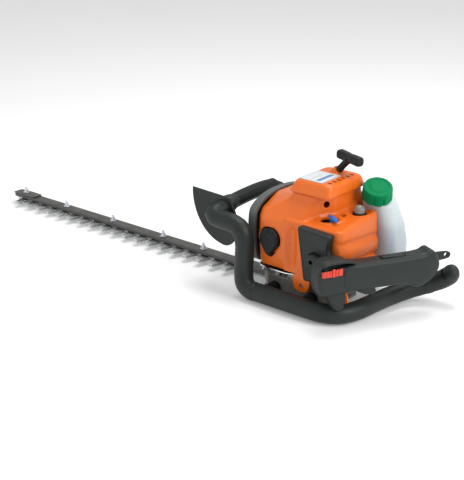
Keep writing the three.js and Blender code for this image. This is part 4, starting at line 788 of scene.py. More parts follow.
@dataclass
class EngineCover:
    """The orange shell over the engine: a tall hall, a bay with the controls, and a seat for the starter."""

    wall: float = 2.5
    grain: float = 1.9
    reach: tuple[tuple[float, float], ...] = ((-57.0, 105.0), (-50.2, 88.0))
    rims: tuple[float, float] = (51.0, 166.0)
    choke: tuple[float, float] = (58.5, -20.0)
    screw: tuple[float, float] = (66.0, 4.0)
    bulb: tuple[float, float] = (77.0, 29.0)
    lug_hole: tuple[float, float] = (33.0, 35.0)

    def hall(self, near: float, far: float, z: float) -> list[Point]:
        """The hall's plan at a height."""
        return [(-57, near + 14, z), (-43, near, z), (24, near, z), (51.6, 2, z), (59.6, 30, z),
                (59.6, far, z), (-57, far, z)]

    def bay(self, right: float, z: Callable[[float], float]) -> list[Point]:
        """The bay's plan at a height that may change with Y."""
        plan = [(0, -50), (right - 6, -50), (right, -44), (right, 44), (0, 44)]
        return [(x, y, z(y)) for x, y in plan]

    def seat(self, margin: float, z: float) -> list[Point]:
        """The plan of the starter's seat at a height, with a corner left off beside the choke."""
        low, high = -9 - margin, 55 + margin
        return [(low, -17 - margin, z), (low + 8, -25 - margin, z), (35, -25 - margin, z), (high - 1, -2, z),
                (high, 4, z), (high, 64 + margin, z), (low, 64 + margin, z)]

    def deck(self, y: float) -> float:
        """Height of the controls' deck."""
        return 131 + 10 * (y + 50) / 94

    def form(self) -> BMesh:
        """The whole outer form, before it is smoothed."""
        bm = bmesh.new()
        hull(bm, [*self.hall(-47, 88, 49), *self.hall(-50, 88, 72), *self.hall(-50, 88, 122),
                  *self.hall(-43, 86, 132), *self.hall(-22, 78, 142), *self.hall(-6, 70, 148),
                  *self.seat(-1, 161)])
        hull(bm, [*self.bay(98, lambda y: 49), *self.bay(102.5, lambda y: 96), *self.bay(98, self.deck)])
        hull(bm, [*self.seat(0, 123), *self.seat(0, 158), *self.seat(1.5, 167)])
        return bm

    def drift(self, x: float, y: float, z: float) -> Vector:
        """How far a point of the skin moves, in mm, to give the shell its hollows and swells."""
        move = Vector((0.0, 0.0, 0.0))
        face = ease_between(-y, 30, 44)
        valley = bell(x, 12, 8) * ease_between(z, 50, 70) * (1 - ease_between(z, 112, 128))
        move.y += 6.0 * face * valley
        move.y -= 2.4 * face * bell(x, -3, 5) * ease_between(z, 56, 76) * (1 - ease_between(z, 100, 122))
        flank = ease_between(x, 86, 96)
        fold, ledge = 109 - 0.08 * y, 75 - 0.08 * y
        move.x -= 2.6 * flank * bell(z, fold, 4)
        move.x += 1.8 * flank * bell(z, ledge + 18, 10)
        step = ledge + 3
        move.x -= 3.4 * flank * ease_between(z, ledge, step) * (1 - ease_between(z, step, ledge + 12))
        move.x += 3.0 * flank * (1 - ease_between(z, ledge - 2, ledge + 1))
        if z > 118:
            dx, dy = x - self.choke[0], y - self.choke[1]
            oval = math.hypot((0.8 * dx + 0.6 * dy) / 14, (0.8 * dy - 0.6 * dx) / 9.8)
            move.z += 2.2 * bell(oval, 1.26, 0.2) - 1.0 * bell(oval, 0, 0.9)
            ring = math.hypot(x - self.bulb[0], y - self.bulb[1])
            move.z -= 4.0 * (1 - ease_between(ring, 12.5, 16.5))
        return move

    def skin(self) -> BMesh:
        """The shell, smooth outside, open below and hollow."""
        bm = self.form()
        relief = bmesh.new()
        block(relief, (-90, -90, 20), (90, 18.4, 107), RearHandle().place)
        bm = melted(bm, self.grain, 0)
        bm = combined(bm, relief)
        bm = melted(bm, self.grain, 5)
        for vert in bm.verts:
            vert.co += self.drift(*(vert.co / MM)) * MM
        relaxed(bm, 2)
        (x0, x1), (y0, y1) = self.reach
        for vert in bm.verts:
            vert.co.x = min(max(vert.co.x, x0 * MM), x1 * MM)
            vert.co.y = min(max(vert.co.y, y0 * MM), y1 * MM)
        for height, keep_below in zip(self.rims, (False, True)):
            bmesh.ops.bisect_plane(bm, geom=[*bm.verts, *bm.edges, *bm.faces], plane_co=at(0, 0, height),
                                   plane_no=ALONG_Z, clear_inner=not keep_below, clear_outer=keep_below)
        return changed(bm, "SOLIDIFY", thickness=self.wall * MM, offset=-1.0, use_even_offset=False)

    def openings(self) -> BMesh:
        """Everything that is cut out of the shell."""
        bm = bmesh.new()
        plate(bm, rounded_outline(Boot().outline(1.6), 1), at(0, 9, 0), 0)
        cylinder(bm, at(-10, -28, 82), at(-25, -48, 82), 9.5)
        block(bm, (-60, 2, 40), (-53.5, 72, 119))
        block(bm, (54, -53, 82), (75, -46, 112))
        verts = cylinder(bm, at(0, 0, -14), at(0, 0, 14), 1.0, sides=40)
        oval = Matrix.Translation(at(*self.choke, 134)) @ Matrix.Rotation(math.atan2(0.6, 0.8), 4, "Z")
        bmesh.ops.transform(bm, matrix=oval @ Matrix.Diagonal((13.4, 9.2, 1.0, 1.0)), verts=verts)
        cylinder(bm, at(*self.screw, 120), at(*self.screw, 150), 4.2)
        cylinder(bm, at(*self.bulb, 120), at(*self.bulb, 150), 10.6)
        cylinder(bm, at(38, -5, 152), at(60, -22, 155), 4.8)
        for i in range(3):
            block(bm, (-44 + 9 * i, 20, 130), (-41 + 9 * i, 45, 160))
        return bm

    def lugs(self) -> None:
        """The two ears that reach down to the gear case."""
        ears = (("engine_cover_front_ear", [(15, 54), (18, 30), (24, 24.5), (38, 24.2), (46, 30), (48, 54)],
                 self.lug_hole),
                ("engine_cover_rear_ear",
                 [(78, 56), (83, 36), (89, 25), (103, 22.5), (113, 27), (114, 38), (104, 56)], (90.5, 34.0)))
        for name, outline, (x, z) in ears:
            bm = bmesh.new()
            flat = [at(px, -47.0, pz) for px, pz in outline]
            plate(bm, rounded_outline(flat), at(0, -2.9, 0), 1.0)
            hole = bmesh.new()
            cylinder(hole, at(x, -60, z), at(x, -40, z), 3.5)
            bm = combined(bm, hole)
            set_piece(bm, name, "machine", Slot.ORANGE)
            ring = bmesh.new()
            rim = [at(x + 4.6 * math.cos(t * math.pi / 12), -49.4, z + 4.6 * math.sin(t * math.pi / 12))
                   for t in range(25)]
            sweep(ring, rim, lambda share: 0.75, 10)
            set_piece(ring, name + "_eye", "machine", Slot.ORANGE)
            bolt = bmesh.new()
            cylinder(bolt, at(x, -47.8, z), at(x, -44, z), 3.2, sides=6)
            set_piece(bolt, name + "_screw", "machine", Slot.ENGINE_STEEL, edge=0.3)

    def build(self) -> None:
        """Makes the cover and its ears."""
        set_piece(combined(self.skin(), self.openings()), "engine_cover_shell", "machine", Slot.ORANGE,
                  ["engine_cover"], sharp=42)
        self.lugs()


@dataclass
class StarterHousing:
    """The box on top, with its rope boss, air slots and label."""

    pull_lean: float = 0.6995
    exit: Point = (26.0, 42.0, 185.0)
    slots: int = 6
    grain: float = 1.3

    def pull(self, distance: float) -> Vector:
        """A place on the rope's line, that far beyond the top."""
        x, y, z = self.exit
        return at(x + distance * math.sin(self.pull_lean), y, z + distance * math.cos(self.pull_lean))

    def shell(self) -> BMesh:
        """The lid with its walls leaning in, hollow below."""
        bm = bmesh.new()
        hull(bm, [*levels(-10, 62, -29, 68, 8, 166.4), *levels(-10, 62, -29, 68, 8, 169),
                  *levels(-5.5, 60, -24, 63, 9, 181), *levels(-3, 58, -22, 61, 10, 184),
                  *levels(0, 55, -19, 58, 9, 185)])
        cylinder(bm, self.pull(-14), self.pull(5.5), 10.5, 8.5)
        hull(bm, [(8, 60, 181), (8, 66, 176), (46, 66, 176), (46, 60, 181), (17, 50, 186.5), (36, 50, 186.5),
                  (17, 42, 184), (36, 42, 184)])
        bm = melted(bm, self.grain, 5)
        hollow = bmesh.new()
        hull(hollow, [*levels(-7.5, 59.5, -26.5, 65.5, 6, 150), *levels(-7.5, 59.5, -26.5, 65.5, 6, 168),
                      *levels(-3, 57, -21, 60, 7, 182)])
        cylinder(hollow, self.pull(-20), self.pull(8), 4.6)
        for i in range(self.slots):
            y = -12 + 11 * i
            block(hollow, (45.5, y, 178), (53.5, y + 5.5, 190), edge=1.2)
        return combined(bm, hollow)

    def build(self) -> None:
        """Makes the housing, its label and a dark plate under the air slots that paints the shade inside
        them.
        """
        set_piece(self.shell(), "starter_housing_shell", "machine", Slot.ORANGE,
                  ["starter_housing"], sharp=42)
        label = bmesh.new()
        (x0, y0, z0), (x1, y1, z1) = (tuple(c / MM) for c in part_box("label_plate"))
        outline = [at(*p) for p in levels(x0, x1, y0, y1, 1.6, z0 - 0.3)]
        plate(label, outline, at(0, 0, z1 - z0), 0.2, compact=True)
        set_piece(label, "label_sticker", "machine", Slot.LABEL, ["label_plate"])
        # A dark plate just under the air slots: painted shade standing in for the shadow inside the housing.
        floor = bmesh.new()
        block(floor, (42, -20, 176), (56, 56, 177.5), edge=0.4)
        set_piece(floor, "starter_slot_shade_plate", "machine", Slot.DARK)


@dataclass
class PullGrip:
    """The T-shaped grip on the starter rope."""

    housing: StarterHousing = field(default_factory=StarterHousing)
    half: float = 26.5
    radius: float = 7.4
    bearing: float = 2.76
    rope: float = 1.8
    rope_ends: tuple[float, float] = (-12.0, 14.0)

    def build(self) -> None:
        """Makes the grip."""
        bm = bmesh.new()
        centre = self.housing.pull(34)
        way = Vector((math.cos(self.bearing), math.sin(self.bearing), 0)) * self.half * MM

        def bar(share: float) -> float:
            """Radius along the bar: full, with ribs near both ends and rounded ends."""
            away = abs(share - 0.5) * 2
            end = math.sqrt(max(0.0, 1 - ((away - 0.9) / 0.1) ** 2)) if away > 0.9 else 1.0
            rib = 0.05 * (math.sin(away * 36) > 0.2) * (0.36 < away < 0.9)
            return self.radius * (0.7 + 0.3 * end) * (1 - rib - 0.08 * bell(away, 0.0, 0.25))

        steps = 96
        sweep(bm, [centre + way * (2 * i / steps - 1) for i in range(steps + 1)], bar, 32)
        for vert in bm.verts:
            out = vert.co - centre
            out -= way * (out.dot(way) / way.length_squared)
            angle = math.atan2(out.z, out.dot(way.cross(ALONG_Z).normalized()))
            square = 0.055 * (1 - math.cos(4 * angle)) * (abs(math.sin(2 * angle)) > 0.05)
            vert.co += out * (square - 0.055)
        stem = bmesh.new()
        start, end = self.housing.pull(7.2), self.housing.pull(31)
        path = [start.lerp(end, i / 20) for i in range(21)]
        sweep(stem, path, lambda share: 5.2 + 0.5 * bell(share, 0, 0.1)
              + 1.5 * ease_between(share, 0.6, 1.0), 24)
        bm = combined(bm, stem, "UNION")
        set_piece(bm, "starter_grip_bar", "starter_grip", Slot.RUBBER, ["starter_grip"], sharp=50)
        rope = bmesh.new()
        low, high = (self.housing.pull(end) for end in self.rope_ends)
        sweep(rope, [low.lerp(high, i / 80) for i in range(81)], lambda share: self.rope, 14)
        set_piece(rope, "starter_rope_run", "starter_grip", Slot.ROPE, ["starter_rope"], stretch=(low, high))


@dataclass
class Boot:
    """The rubber boot over the spark plug: a rounded heart with a sleeve behind it."""

    centre: tuple[float, float] = (-25.4, 95.0)
    radius: float = 19.0
    face: float = -58.4

    def outline(self, margin: float = 0.0) -> list[Vector]:
        """The face's outline at the cover's near side, grown by a margin in mm."""
        x, z = self.centre
        points = []
        for i in range(13):
            angle = -0.5 + i / 12 * (math.pi + 1)
            r = (self.radius - 0.6) * (1 - 0.1 * bell(angle, 1.62, 0.3)) + margin
            points.append(at(x + r * math.cos(angle), -50.4, z + r * math.sin(angle)))
        points += [at(x - 4 - margin, -50.4, 67.5 - margin), at(x + 3 + margin, -50.4, 67.5 - margin)]
        return points

    def build(self) -> None:
        """Makes the boot and the orange lip round its hole."""
        bm = bmesh.new()
        plate(bm, rounded_outline(self.outline(-0.6)), at(0, self.face + 51.2, 0), 6.0, compact=True)
        for vert in bm.verts:
            x, z = vert.co.x / MM - self.centre[0], vert.co.z / MM - self.centre[1]
            front = ease_between(-vert.co.y / MM, 52, 57)
            vert.co.y += front * 4.2 * bell(x + 1, 0, 3.8) * ease_between(z, 2, 18) * MM
        sleeve = bmesh.new()
        cylinder(sleeve, at(-25.0, -46.5, 90), at(-9.5, -26, 82), 9.0, 8.0)
        bm = combined(bm, sleeve, "UNION")
        set_piece(bm, "plug_boot_heart", "plug_boot", Slot.RUBBER, ["plug_boot"], sharp=55)
        lip = bmesh.new()
        ring = rounded_outline(self.outline(1.9), 2)
        sweep(lip, [p + at(0, 0.2, 0) for p in [*ring, ring[0]]], lambda share: 0.9, 10)
        set_piece(lip, "plug_hole_lip", "machine", Slot.ORANGE)


@dataclass
class FilterCover:
    """The dark lid over the air filter, with its turning knob."""

    outline: tuple[tuple[float, float], ...] = (
        (31, 130), (88, 127), (84, 106), (91, 88), (91, 50), (44, 50))
    knob: tuple[float, float] = (63.0, 86.0)

    def build(self) -> None:
        """Makes the lid and the knob."""
        bm = bmesh.new()
        flat = [at(x, -50.2, z) for x, z in self.outline]
        top = plate(bm, cornered(flat, 8), at(0, -12.2, 0), 3.4, compact=True)
        shrink_over(bm, top, -0.8, 2)
        x, z = self.knob
        well = bmesh.new()
        cylinder(well, at(x, -70, z), at(x, -52.6, z), 12.4, sides=48)
        bm = combined(bm, well)
        set_piece(bm, "filter_lid", "machine", Slot.DARK, ["filter_cover"], sharp=45)
        knob = bmesh.new()
        cylinder(knob, at(x, -53.4, z), at(x, -71.4, z), 11.4, 10.2, 48)
        rim = [e for e in knob.edges if all(v.co.y < -0.07 for v in e.verts)]
        bmesh.ops.bevel(knob, geom=rim, offset=1.6 * MM, segments=4, profile=0.5, affect="EDGES", material=-1)
        tool = bmesh.new()
        cylinder(tool, at(x, -80, z), at(x, -64.5, z), 3.4, sides=24)
        for i in range(12):
            turn = i * math.pi / 6
            place = at(x + 11.9 * math.cos(turn), 0, z + 11.9 * math.sin(turn))
            cylinder(tool, place + at(0, -90, 0), place + at(0, -58, 0), 1.5, sides=12)
        knob = combined(knob, tool)
        set_piece(knob, "filter_lid_knob", "filter_knob", Slot.DARK, ["filter_knob"], sharp=40)


@dataclass
class FrontCover:
    """The dark shield over the exhaust."""

    outline: tuple[tuple[float, float], ...] = (
        (-44, 56), (-28, 43), (80, 43), (88, 58), (88, 128), (72, 147), (20, 151), (-12, 147),
        (-34, 138), (-47, 124))

    def build(self) -> None:
        """Makes the shield with its exhaust outlet."""
        bm = bmesh.new()
        flat = [at(-57.6, y, z) for y, z in self.outline]
        plate(bm, rounded_outline(flat), at(-17.6, 0, 0), 9.0)
        tool = bmesh.new()
        inner = [at(-50, y * 0.93 + 1, (z - 96) * 0.93 + 96) for y, z in self.outline]
        plate(tool, rounded_outline(inner), at(-22.6, 0, 0), 6)
        block(tool, (-80, 22, 70), (-60, 50, 92), edge=3)
        bm = combined(bm, tool)
        shield = set_piece(bm, "exhaust_shield", "machine", Slot.DARK, ["front_cover"], sharp=45)
        shield.data.materials[0] = PALETTE.shield
        grille = bmesh.new()
        for i in range(5):
            block(grille, (-72.6, 21, 72.5 + 4.2 * i), (-68.5, 51, 73.9 + 4.2 * i), edge=0.3)
        set_piece(grille, "exhaust_grille", "machine", Slot.ENGINE_STEEL)


@dataclass
class Controls:
    """Choke lever, primer bulb, deck screw and the stop switch."""

    def choke(self) -> None:
        """The blue lever, flat across its hole."""
        bm = bmesh.new()
        spot = Matrix.Translation(at(63, -21, 0)) @ Matrix.Rotation(-0.5, 4, "Z")
        z0, z1 = (c.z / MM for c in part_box("choke_lever"))
        start, end = spot @ at(-8, 0, z1 - 3.2), spot @ at(15.6, 0, z1 - 3.6)
        ends = [start.lerp(end, i / 24) for i in range(25)]

        def swell(share: float) -> float:
            """The lever's radius, fullest at its middle."""
            return 4.0 * (0.35 + 0.65 * math.sqrt(math.sin(math.pi * (0.06 + 0.88 * share))))

        sweep(bm, ends, swell, 20, 0.8)
        post = bmesh.new()
        cylinder(post, at(63, -21, z0), at(63, -21, z1 - 4), 3.6, sides=24)
        bm = combined(bm, post, "UNION")
        set_piece(bm, "choke_lever_blue", "choke_lever", Slot.BLUE, ["choke_lever"], sharp=50)

    def primer(self) -> None:
        """The clear bulb on its dark collar."""
        (x0, y0, z0), (x1, y1, z1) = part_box("primer_bulb")
        centre, radius = Vector(((x0 + x1) / 2, (y0 + y1) / 2, 0)), (x1 - x0) / 2
        bm = bmesh.new()
        made = bmesh.ops.create_uvsphere(bm, u_segments=36, v_segments=20, radius=radius * 0.93)["verts"]
        dome = Matrix.Translation(centre + ALONG_Z * (z1 - radius * 0.95))
        bmesh.ops.transform(bm, matrix=dome, verts=made)
        for vert in bm.verts:
            if vert.co.z < z0 + 0.003:
                vert.co.z = z0 + 0.003
        bmesh.ops.remove_doubles(bm, verts=bm.verts, dist=0.00005)
        set_piece(bm, "primer_bulb_dome", "primer_bulb", Slot.CLEAR, ["primer_bulb"])
        collar = bmesh.new()
        rim = [centre + ALONG_Z * (z0 + 0.0036) + Vector((math.cos(t), math.sin(t), 0)) * radius
               for t in (i * math.pi / 20 for i in range(41))]
        sweep(collar, rim, lambda share: 1.1, 12)
        set_piece(collar, "primer_collar", "machine", Slot.DARK)

    def switch(self) -> None:
        """The red ribbed slider."""
        place = RearHandle().place
        bm = bmesh.new()
        block(bm, (-37.5, -17.6, 79.6), (-6.5, -14.6, 90.4), place, 0.5)
        for i in range(6):
            if i != 3:
                block(bm, (-36 + 4.6 * i, -18.6, 80.5), (-33.6 + 4.6 * i, -17.5, 89.5), place, 0.3)
        block(bm, (-23.0, -19.4, 79.8), (-19.4, -17.4, 91.8), place, 0.5)
        block(bm, (-26, -15, 82.5), (-18, -9.5, 87.5), place)
        set_piece(bm, "stop_slider", "stop_switch", Slot.RED, ["stop_switch"], sharp=30)

    def build(self) -> None:
        """Makes the controls."""
        self.choke()
        self.primer()
        self.switch()
        screw = bmesh.new()
        cylinder(screw, at(66, 4, 128), at(66, 4, 133), 3.6, sides=24)
        set_piece(screw, "idle_screw", "machine", Slot.ENGINE_STEEL, edge=0.4)


@dataclass
class Tank:
    """The blow-moulded fuel tank and its cap."""

    base: Point = (85.0, 61.0, 155.0)
    axis: Point = (0.2606, -0.3136, 0.9131)
    neck: float = 18.0
    cap_radius: float = 22.6
    lobes: int = 10
    grain: float = 1.9

    def spot(self) -> Matrix:
        """Places something along the neck, whose axis is Z."""
        lean = Vector(self.axis).to_track_quat("Z", "Y").to_matrix().to_4x4()
        return Matrix.Translation(at(*self.base)) @ lean

    def body(self) -> None:
        """The tank with its neck."""
        bm = bmesh.new()
        rings = ((36, 8, 8, 8, 14), (46, 0, 0, 0, 18), (84, 0, 0, 0, 18), (112, 0, 3, 5, 18),
                 (142, 0, 9, 16, 18), (172, 0, 16, 30, 14))
        hull(bm, [p for z, near, sx, sy, r in rings
                  for p in levels(62 + near, 122 - sx, 48 + near, 107 - sy, r, z)])
        bmesh.ops.bisect_plane(bm, geom=[*bm.verts, *bm.edges, *bm.faces], plane_co=at(*self.base),
                               plane_no=Vector(self.axis), clear_outer=True)
        bmesh.ops.holes_fill(bm, edges=[e for e in bm.edges if e.is_boundary])
        cylinder(bm, self.spot() @ at(0, 0, -6), self.spot() @ at(0, 0, 12), self.neck - 0.3, sides=48)
        bm = melted(bm, self.grain, 9)
        for vert in bm.verts:
            x, y, z = vert.co / MM
            seam = bell(y - 78, 0, 1.2) * (1 if x > 110 or z < 40 else 0)
            panel = ease_between(x, 112, 118) * bell(y, 78, 20)
            panel = panel * ease_between(z, 52, 66) * (1 - ease_between(z, 118, 140))
            vert.co.x += (0.5 * seam - 1.6 * panel) * MM
        set_piece(bm, "fuel_tank_shell", "machine", Slot.TANK, ["fuel_tank"], sharp=60)

    def cap(self) -> None:
        """The green cap with its grip slots and domed, stepped top."""
        low, high = 0.6, 17.2
        bm = bmesh.new()
        place = self.spot()
        sides = self.lobes * 8
        bmesh.ops.create_cone(bm, cap_ends=True, segments=sides, radius1=self.cap_radius * MM,
                              radius2=(self.cap_radius - 0.8) * MM, depth=(high - low) * MM,
                              matrix=Matrix.Translation(at(0, 0, (high + low) / 2)))
        middle = [e for e in bm.edges if abs(e.verts[0].co.z - e.verts[1].co.z) > 0.01]
        bmesh.ops.subdivide_edges(bm, edges=middle, cuts=7)
        top = next(f for f in bm.faces if f.normal.z > 0.9 and len(f.verts) > 20)
        round_over(bm, top, 3.0, 4)
        for thick, deep in ((1.5, 0.0), (0.8, -0.9), (5.0, 0.5), (0.8, 0.5), (6.0, 0.3), (1.2, -0.4)):
            bmesh.ops.inset_region(bm, faces=[top], thickness=thick * MM, depth=deep * MM,
                                   use_even_offset=True)
        for vert in bm.verts:
            angle = math.atan2(vert.co.y, vert.co.x)
            out = math.hypot(vert.co.x, vert.co.y) / (self.cap_radius * MM)
            height = vert.co.z / MM
            slot = max(0.0, math.cos(angle * self.lobes)) ** 6
            dent = slot * (0.075 if height < 12.5 else 0.03) * ease_between(out, 0.7, 0.9)
            vert.co.x *= 1 - dent
            vert.co.y *= 1 - dent
        bmesh.ops.transform(bm, matrix=place, verts=bm.verts)
        set_piece(bm, "fuel_cap_green", "fuel_cap", Slot.GREEN, ["fuel_cap"], sharp=35)

    def build(self) -> None:
        """Makes the tank and the cap."""
        self.body()
        self.cap()


@dataclass
class RearHandle:
    """The rear handle: two shells, a leg, the trigger and the lockout."""

    half: float = 15.0
    outline: tuple[tuple[float, float], ...] = (
        (-38, 46.5), (2, 50), (60, 48.5), (102, 47), (115, 38.5), (127, 39), (146, 50), (156, 66),
        (152, 82), (143, 93), (136, 93), (128, 87.5), (70, 88.5), (12, 89.5), (3, 99.5), (-30, 101),
        (-39, 94), (-43, 70))

    @property
    def place(self) -> Matrix:
        """The handle's frame, with its X along the grip."""
        return Matrix.Translation(at(109, -62, 4)) @ Matrix.Rotation(1.089, 4, "Z")

    def shell(self, side: int) -> None:
        """One half of the shell. side is -1 for the near half and 1 for the far half."""
        name = "handle_near" if side < 0 else "handle_far"
        bm = bmesh.new()
        flat = [at(u, side * 0.15, z) for u, z in self.outline]
        plate(bm, rounded_outline(flat), at(0, side * (self.half - 0.2), 0), 6.5)
        tool = bmesh.new()
        block(tool, (16, -5.6, 30), (61, 5.6, 62))
        block(tool, (62, -5.6, 78), (102, 5.6, 110))
        if side < 0:
            block(tool, (-30.5, -16, 82), (-13.5, -8, 88))
            block(tool, (-41.5, -19, 78.6), (-1.4, -14.4, 91.4), edge=0.6)
        bm = combined(bm, tool)
        bmesh.ops.transform(bm, matrix=self.place, verts=bm.verts)
        set_piece(bm, name + "_shell", "machine", Slot.DARK, [name], sharp=40)

    def trims(self) -> None:
        """Raised rims, the ledge over the switch, the hanging eye and the screws."""
        rim = bmesh.new()
        arc = [(6, 52), (1, 60), (-2, 70), (-1, 80), (4, 90), (9, 96)]
        path = smooth_path([(u, -self.half + 0.2, z) for u, z in arc], 40)
        sweep(rim, path, lambda share: 0.9, 10)
        bmesh.ops.transform(rim, matrix=self.place, verts=rim.verts)
        set_piece(rim, "handle_parting_rim", "machine", Slot.DARK)
        ledge = bmesh.new()
        flat = [at(u, -13, z) for u, z in ((-40.5, 91.4), (-38, 97), (-29, 101.5), (4, 101), (14, 94),
                                           (10, 91.5), (1, 95.6), (-26, 95.6), (-36, 92.8))]
        plate(ledge, rounded_outline(flat), at(0, -5.6, 0), 1.9)
        bmesh.ops.transform(ledge, matrix=self.place, verts=ledge.verts)
        set_piece(ledge, "handle_switch_visor", "machine", Slot.DARK, sharp=40)
        eye = bmesh.new()
        flat = [at(u, 2, z) for u, z in ((146, 67), (176, 68.5), (182, 71.5), (182, 77.5),
                                         (176, 80.2), (144, 81))]
        plate(eye, rounded_outline(flat), at(0, 7, 0), 1.6, 1.6)
        tool = bmesh.new()
        cylinder(tool, at(175, -5, 74.5), at(175, 16, 74.5), 3.0)
        eye = combined(eye, tool)
        bmesh.ops.transform(eye, matrix=self.place, verts=eye.verts)
        set_piece(eye, "handle_hanging_eye", "machine", Slot.DARK, sharp=40)
        screws = bmesh.new()
        for u, z in ((20, 84), (112, 82), (138, 56), (-30, 60)):
            cylinder(screws, at(u, 13.5, z), at(u, 15.25, z), 3.0, 2.6, 24)
        bmesh.ops.transform(screws, matrix=self.place, verts=screws.verts)
        set_piece(screws, "handle_screws", "machine", Slot.ENGINE_STEEL, edge=0.2)

    def build(self) -> None:
        """Makes the handle."""
        self.shell(-1)
        self.shell(1)
        self.trims()
        leg = bmesh.new()
        flat = [at(u, 8.8, z) for u, z in ((-25, 52), (-19, 36), (-11, 20), (2, 18), (5, 34), (7, 52))]
        plate(leg, rounded_outline(flat), at(0, -17.6, 0), 4.0, 4.0)
        bmesh.ops.transform(leg, matrix=self.place, verts=leg.verts)
        set_piece(leg, "handle_leg_shaped", "machine", Slot.DARK, ["handle_leg"], sharp=40)
        refined("throttle_trigger", "throttle_trigger", Slot.DARK, 1.2, 3)
        lockout = merged_copy("throttle_lockout")
        for vert in lockout.verts:
            vert.co.z -= 0.7 * max(0.0, vert.co.z - 92.5 * MM)
        name = "throttle_lockout"
        set_piece(lockout, name + "_shaped", name, Slot.DARK, [name], edge=1.0)


FRONT_PATH: tuple[Point, ...] = (
    (-30, -74, 15.3), (-42, -74, 15.3), (-54, -73, 22.3), (-60, -69, 41.3), (-61, -66, 64), (-62, -65, 84),
    (-69, -65, 102), (-84, -64, 108), (-118, -64, 111), (-124, -61, 114), (-122, -52, 117), (-116, -34, 126),
    (-117, 0, 128), (-119, 48, 128), (-120, 78, 125), (-112, 97, 114), (-98, 104, 92), (-82, 104, 58),
    (-62, 104, 32), (-36, 104, 20.3), (0, 104, 18.3), (40, 104, 18.3))
FRAME_PATH: tuple[Point, ...] = (
    (-29.5, -74, 15.3), (0, -74, 15.3), (60, -74, 15.3), (88, -72, 15.3), (108, -60, 15.3), (119, -36, 15.3),
    (124, 4, 15.3), (130, 40, 16.3), (143, 70, 20.3), (161, 88, 27.3), (181, 98, 37.3), (193, 99, 48.3),
    (191, 92, 56.3))


@dataclass
class Loops:
    """The front loop, the ground frame, the sleeve, the guard and the buffer springs."""

    radius: float = 14.45
    core: float = 9.5

    def loop_radius(self, share: float) -> float:
        """The front loop's radius, thinner along the grip."""
        thin = ease_between(share, 0.36, 0.4) - ease_between(share, 0.64, 0.68)
        end = 0.86 + 0.14 * math.sqrt(min(1.0, share / 0.006)) if share < 0.006 else 1.0
        return (self.radius - (self.radius - self.core) * thin) * end

    def frame_radius(self, share: float) -> float:
        """The ground frame's radius, with a collar and a rounded end."""
        end = math.sqrt(max(0.0, 1 - ((share - 0.975) / 0.0252) ** 2)) if share > 0.975 else 1.0
        collar = 0.7 * (ease_between(share, 0.845, 0.85) - ease_between(share, 0.87, 0.875))
        return (self.radius - 0.3) * (0.25 + 0.75 * end) + collar

    def sleeve(self) -> None:
        """The grip's rubber sleeve, with ribs along it."""
        bm = bmesh.new()
        path = smooth_path(FRONT_PATH[11:15], 60)
        sweep(bm, path, lambda share: 11.6 + 0.4 * (share < 0.03 or share > 0.97), 48)
        for index, place in enumerate(path):
            ahead = (path[min(index + 1, 59)] - path[max(index - 1, 0)]).normalized()
            for vert in bm.verts[index * 48:index * 48 + 48]:
                out = vert.co - place
                out -= ahead * out.dot(ahead)
                step = 0.45 * MM if vert.index % 4 < 2 and 3 < index < 56 else 0.0
                vert.co -= out.normalized() * step
        set_piece(bm, "grip_sleeve_ribbed", "machine", Slot.RUBBER, ["grip_sleeve"], sharp=25)

    def guard(self) -> None:
        """The crescent guard with a raised rim."""
        bends = (((-178, 143), (-180, 118), (-166, 70), (-118, 62)),
                 ((-118, 62), (-102, 60), (-92, 72), (-90, 92)))
        edge = [p for bend in bends
                for p in interpolate_bezier(*(at(x, -46.1, z) for x, z in bend), 14)[:-1]]
        edge += [at(-90, -46.1, 92), at(-91.6, -46.1, 108), at(-93, -46.1, 118), at(-104, -46.1, 140)]
        bm = bmesh.new()
        top = plate(bm, edge, at(0, -3.8, 0), 0.9, 0.9)
        bmesh.ops.inset_region(bm, faces=[top], thickness=2.2 * MM, depth=-0.6 * MM, use_even_offset=True)
        set_piece(bm, "hand_guard_crescent", "machine", Slot.DARK, ["hand_guard"], sharp=35)

    def springs(self) -> None:
        """Coil springs between the case and the tubes, each on two cups."""
        turns, steps, wide = 4, 110, 9.0
        spans = ((-22, -59, -40, 14.5), (46, -59, -40, 14.5), (12, 62.6, 89, 17.5))
        for number, (x, y0, y1, z) in enumerate(spans, 1):
            coil = bmesh.new()
            path = []
            for i in range(steps + 1):
                angle = 2 * math.pi * turns * i / steps
                y = y0 + 2 + (y1 - y0 - 4) * i / steps
                path.append(at(x + wide * math.cos(angle), y, z + wide * math.sin(angle)))
            sweep(coil, path, lambda share: 1.15, 10)
            for start, end in ((y0, y0 + 1.6), (y1 - 1.6, y1)):
                cylinder(coil, at(x, start, z), at(x, end, z), 10.0, sides=28)
            cylinder(coil, at(x, y0 + 1, z), at(x, y1 - 1, z), 5.0, sides=24)
            name = f"buffer_spring_{number}"
            set_piece(coil, name + "_coil", "machine", Slot.RUBBER, [name], sharp=40)

    def build(self) -> None:
        """Makes the loops and what they carry."""
        bm = bmesh.new()
        sweep(bm, smooth_path(FRONT_PATH, 150), self.loop_radius, 32)
        set_piece(bm, "front_loop_tube", "machine", Slot.DARK, ["front_loop"], sharp=40)
        bm = bmesh.new()
        sweep(bm, smooth_path(FRAME_PATH, 200), self.frame_radius, 32)
        set_piece(bm, "ground_frame_tube", "machine", Slot.DARK, ["ground_frame"], sharp=40)
        self.sleeve()
        self.guard()
        self.springs()


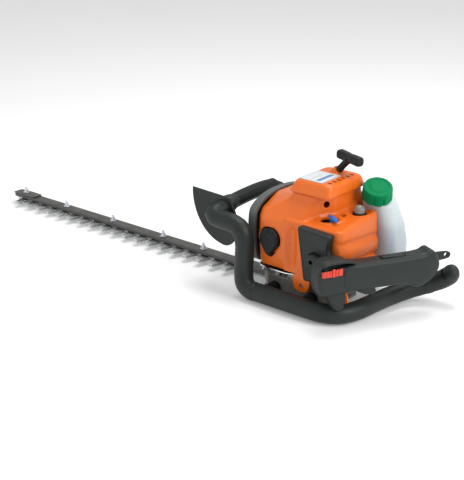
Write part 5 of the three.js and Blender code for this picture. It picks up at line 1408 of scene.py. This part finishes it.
@dataclass
class Studio:
    """The floor, the soft lights and the camera."""

    spot: Point = (0.86464, -1.20454, 0.65141)
    bearing: float = 39.839
    dip: float = 21.0
    lens: float = 79.46
    sensor: float = 36.0
    floor: float = 14.0
    air: float = 0.62
    aim: Point = (0.0, 0.0, 0.08)
    lamps: tuple[tuple[str, Point, float, float], ...] = (
        ("key", (1.7, 0.1, 1.3), 21.0, 1.1), ("top", (-0.1, 0.5, 1.9), 17.0, 0.9),
        ("fill", (-1.3, -1.6, 0.9), 5.0, 1.8))

    def build(self) -> None:
        """Makes the floor, the lights and the camera."""
        bm = bmesh.new()
        bmesh.ops.create_grid(bm, x_segments=2, y_segments=2, size=self.floor / 2)
        mesh = bpy.data.meshes.new("floor")
        bm.to_mesh(mesh)
        bm.free()
        g = Graph("pale_floor")
        tone = g.ramp(g.noise(3.0), [(0.3, (0.86, 0.86, 0.86)), (0.7, (0.88, 0.88, 0.88))])
        mesh.materials.append(g.surface(Base_Color=tone, Roughness=0.9, Specular_IOR_Level=0.1,
                                        Emission_Color=(1, 1, 1, 1), Emission_Strength=0.14))
        ground = placed("floor", mesh)
        world = bpy.data.worlds.new("studio_air")
        world.use_nodes = True
        air = world.node_tree.nodes["Background"].inputs
        air["Color"].default_value, air["Strength"].default_value = (1, 1, 1, 1), self.air
        bpy.context.scene.world = world
        for lamp in self.lamps:
            self.lamp(*lamp)
        camera = bpy.data.cameras.new("camera")
        camera.lens, camera.sensor_width = self.lens, self.sensor
        eye = placed("camera", camera)
        turn, tip = math.radians(self.bearing), math.radians(self.dip)
        look = Vector((-math.sin(turn) * math.cos(tip), math.cos(turn) * math.cos(tip), -math.sin(tip)))
        eye.location = self.spot
        eye.rotation_euler = look.to_track_quat("-Z", "Y").to_euler()
        bpy.context.scene.camera = eye
        bpy.context.scene.view_settings.view_transform = "Standard"

    def lamp(self, name: str, spot: Point, watts: float, size: float) -> None:
        """A square area light that faces the machine."""
        light = bpy.data.lights.new(name, "AREA")
        light.energy, light.size = watts, size
        lamp = placed(name, light)
        lamp.location = spot
        lamp.rotation_euler = (Vector(self.aim) - Vector(spot)).to_track_quat("-Z", "Y").to_euler()


def main() -> None:
    """Builds every sub-assembly in order."""
    logging.basicConfig(level=logging.INFO, format="%(name)s: %(message)s")
    PALETTE.build()
    for assembly in (Studio(), Cutter(), GearCase(), EngineCover(), StarterHousing(), PullGrip(), Boot(),
                     FilterCover(), FrontCover(), Controls(), Tank(), RearHandle(), Loops()):
        LOG.info("building %s", type(assembly).__name__)
        assembly.build()


if __name__ == "__main__":
    main()
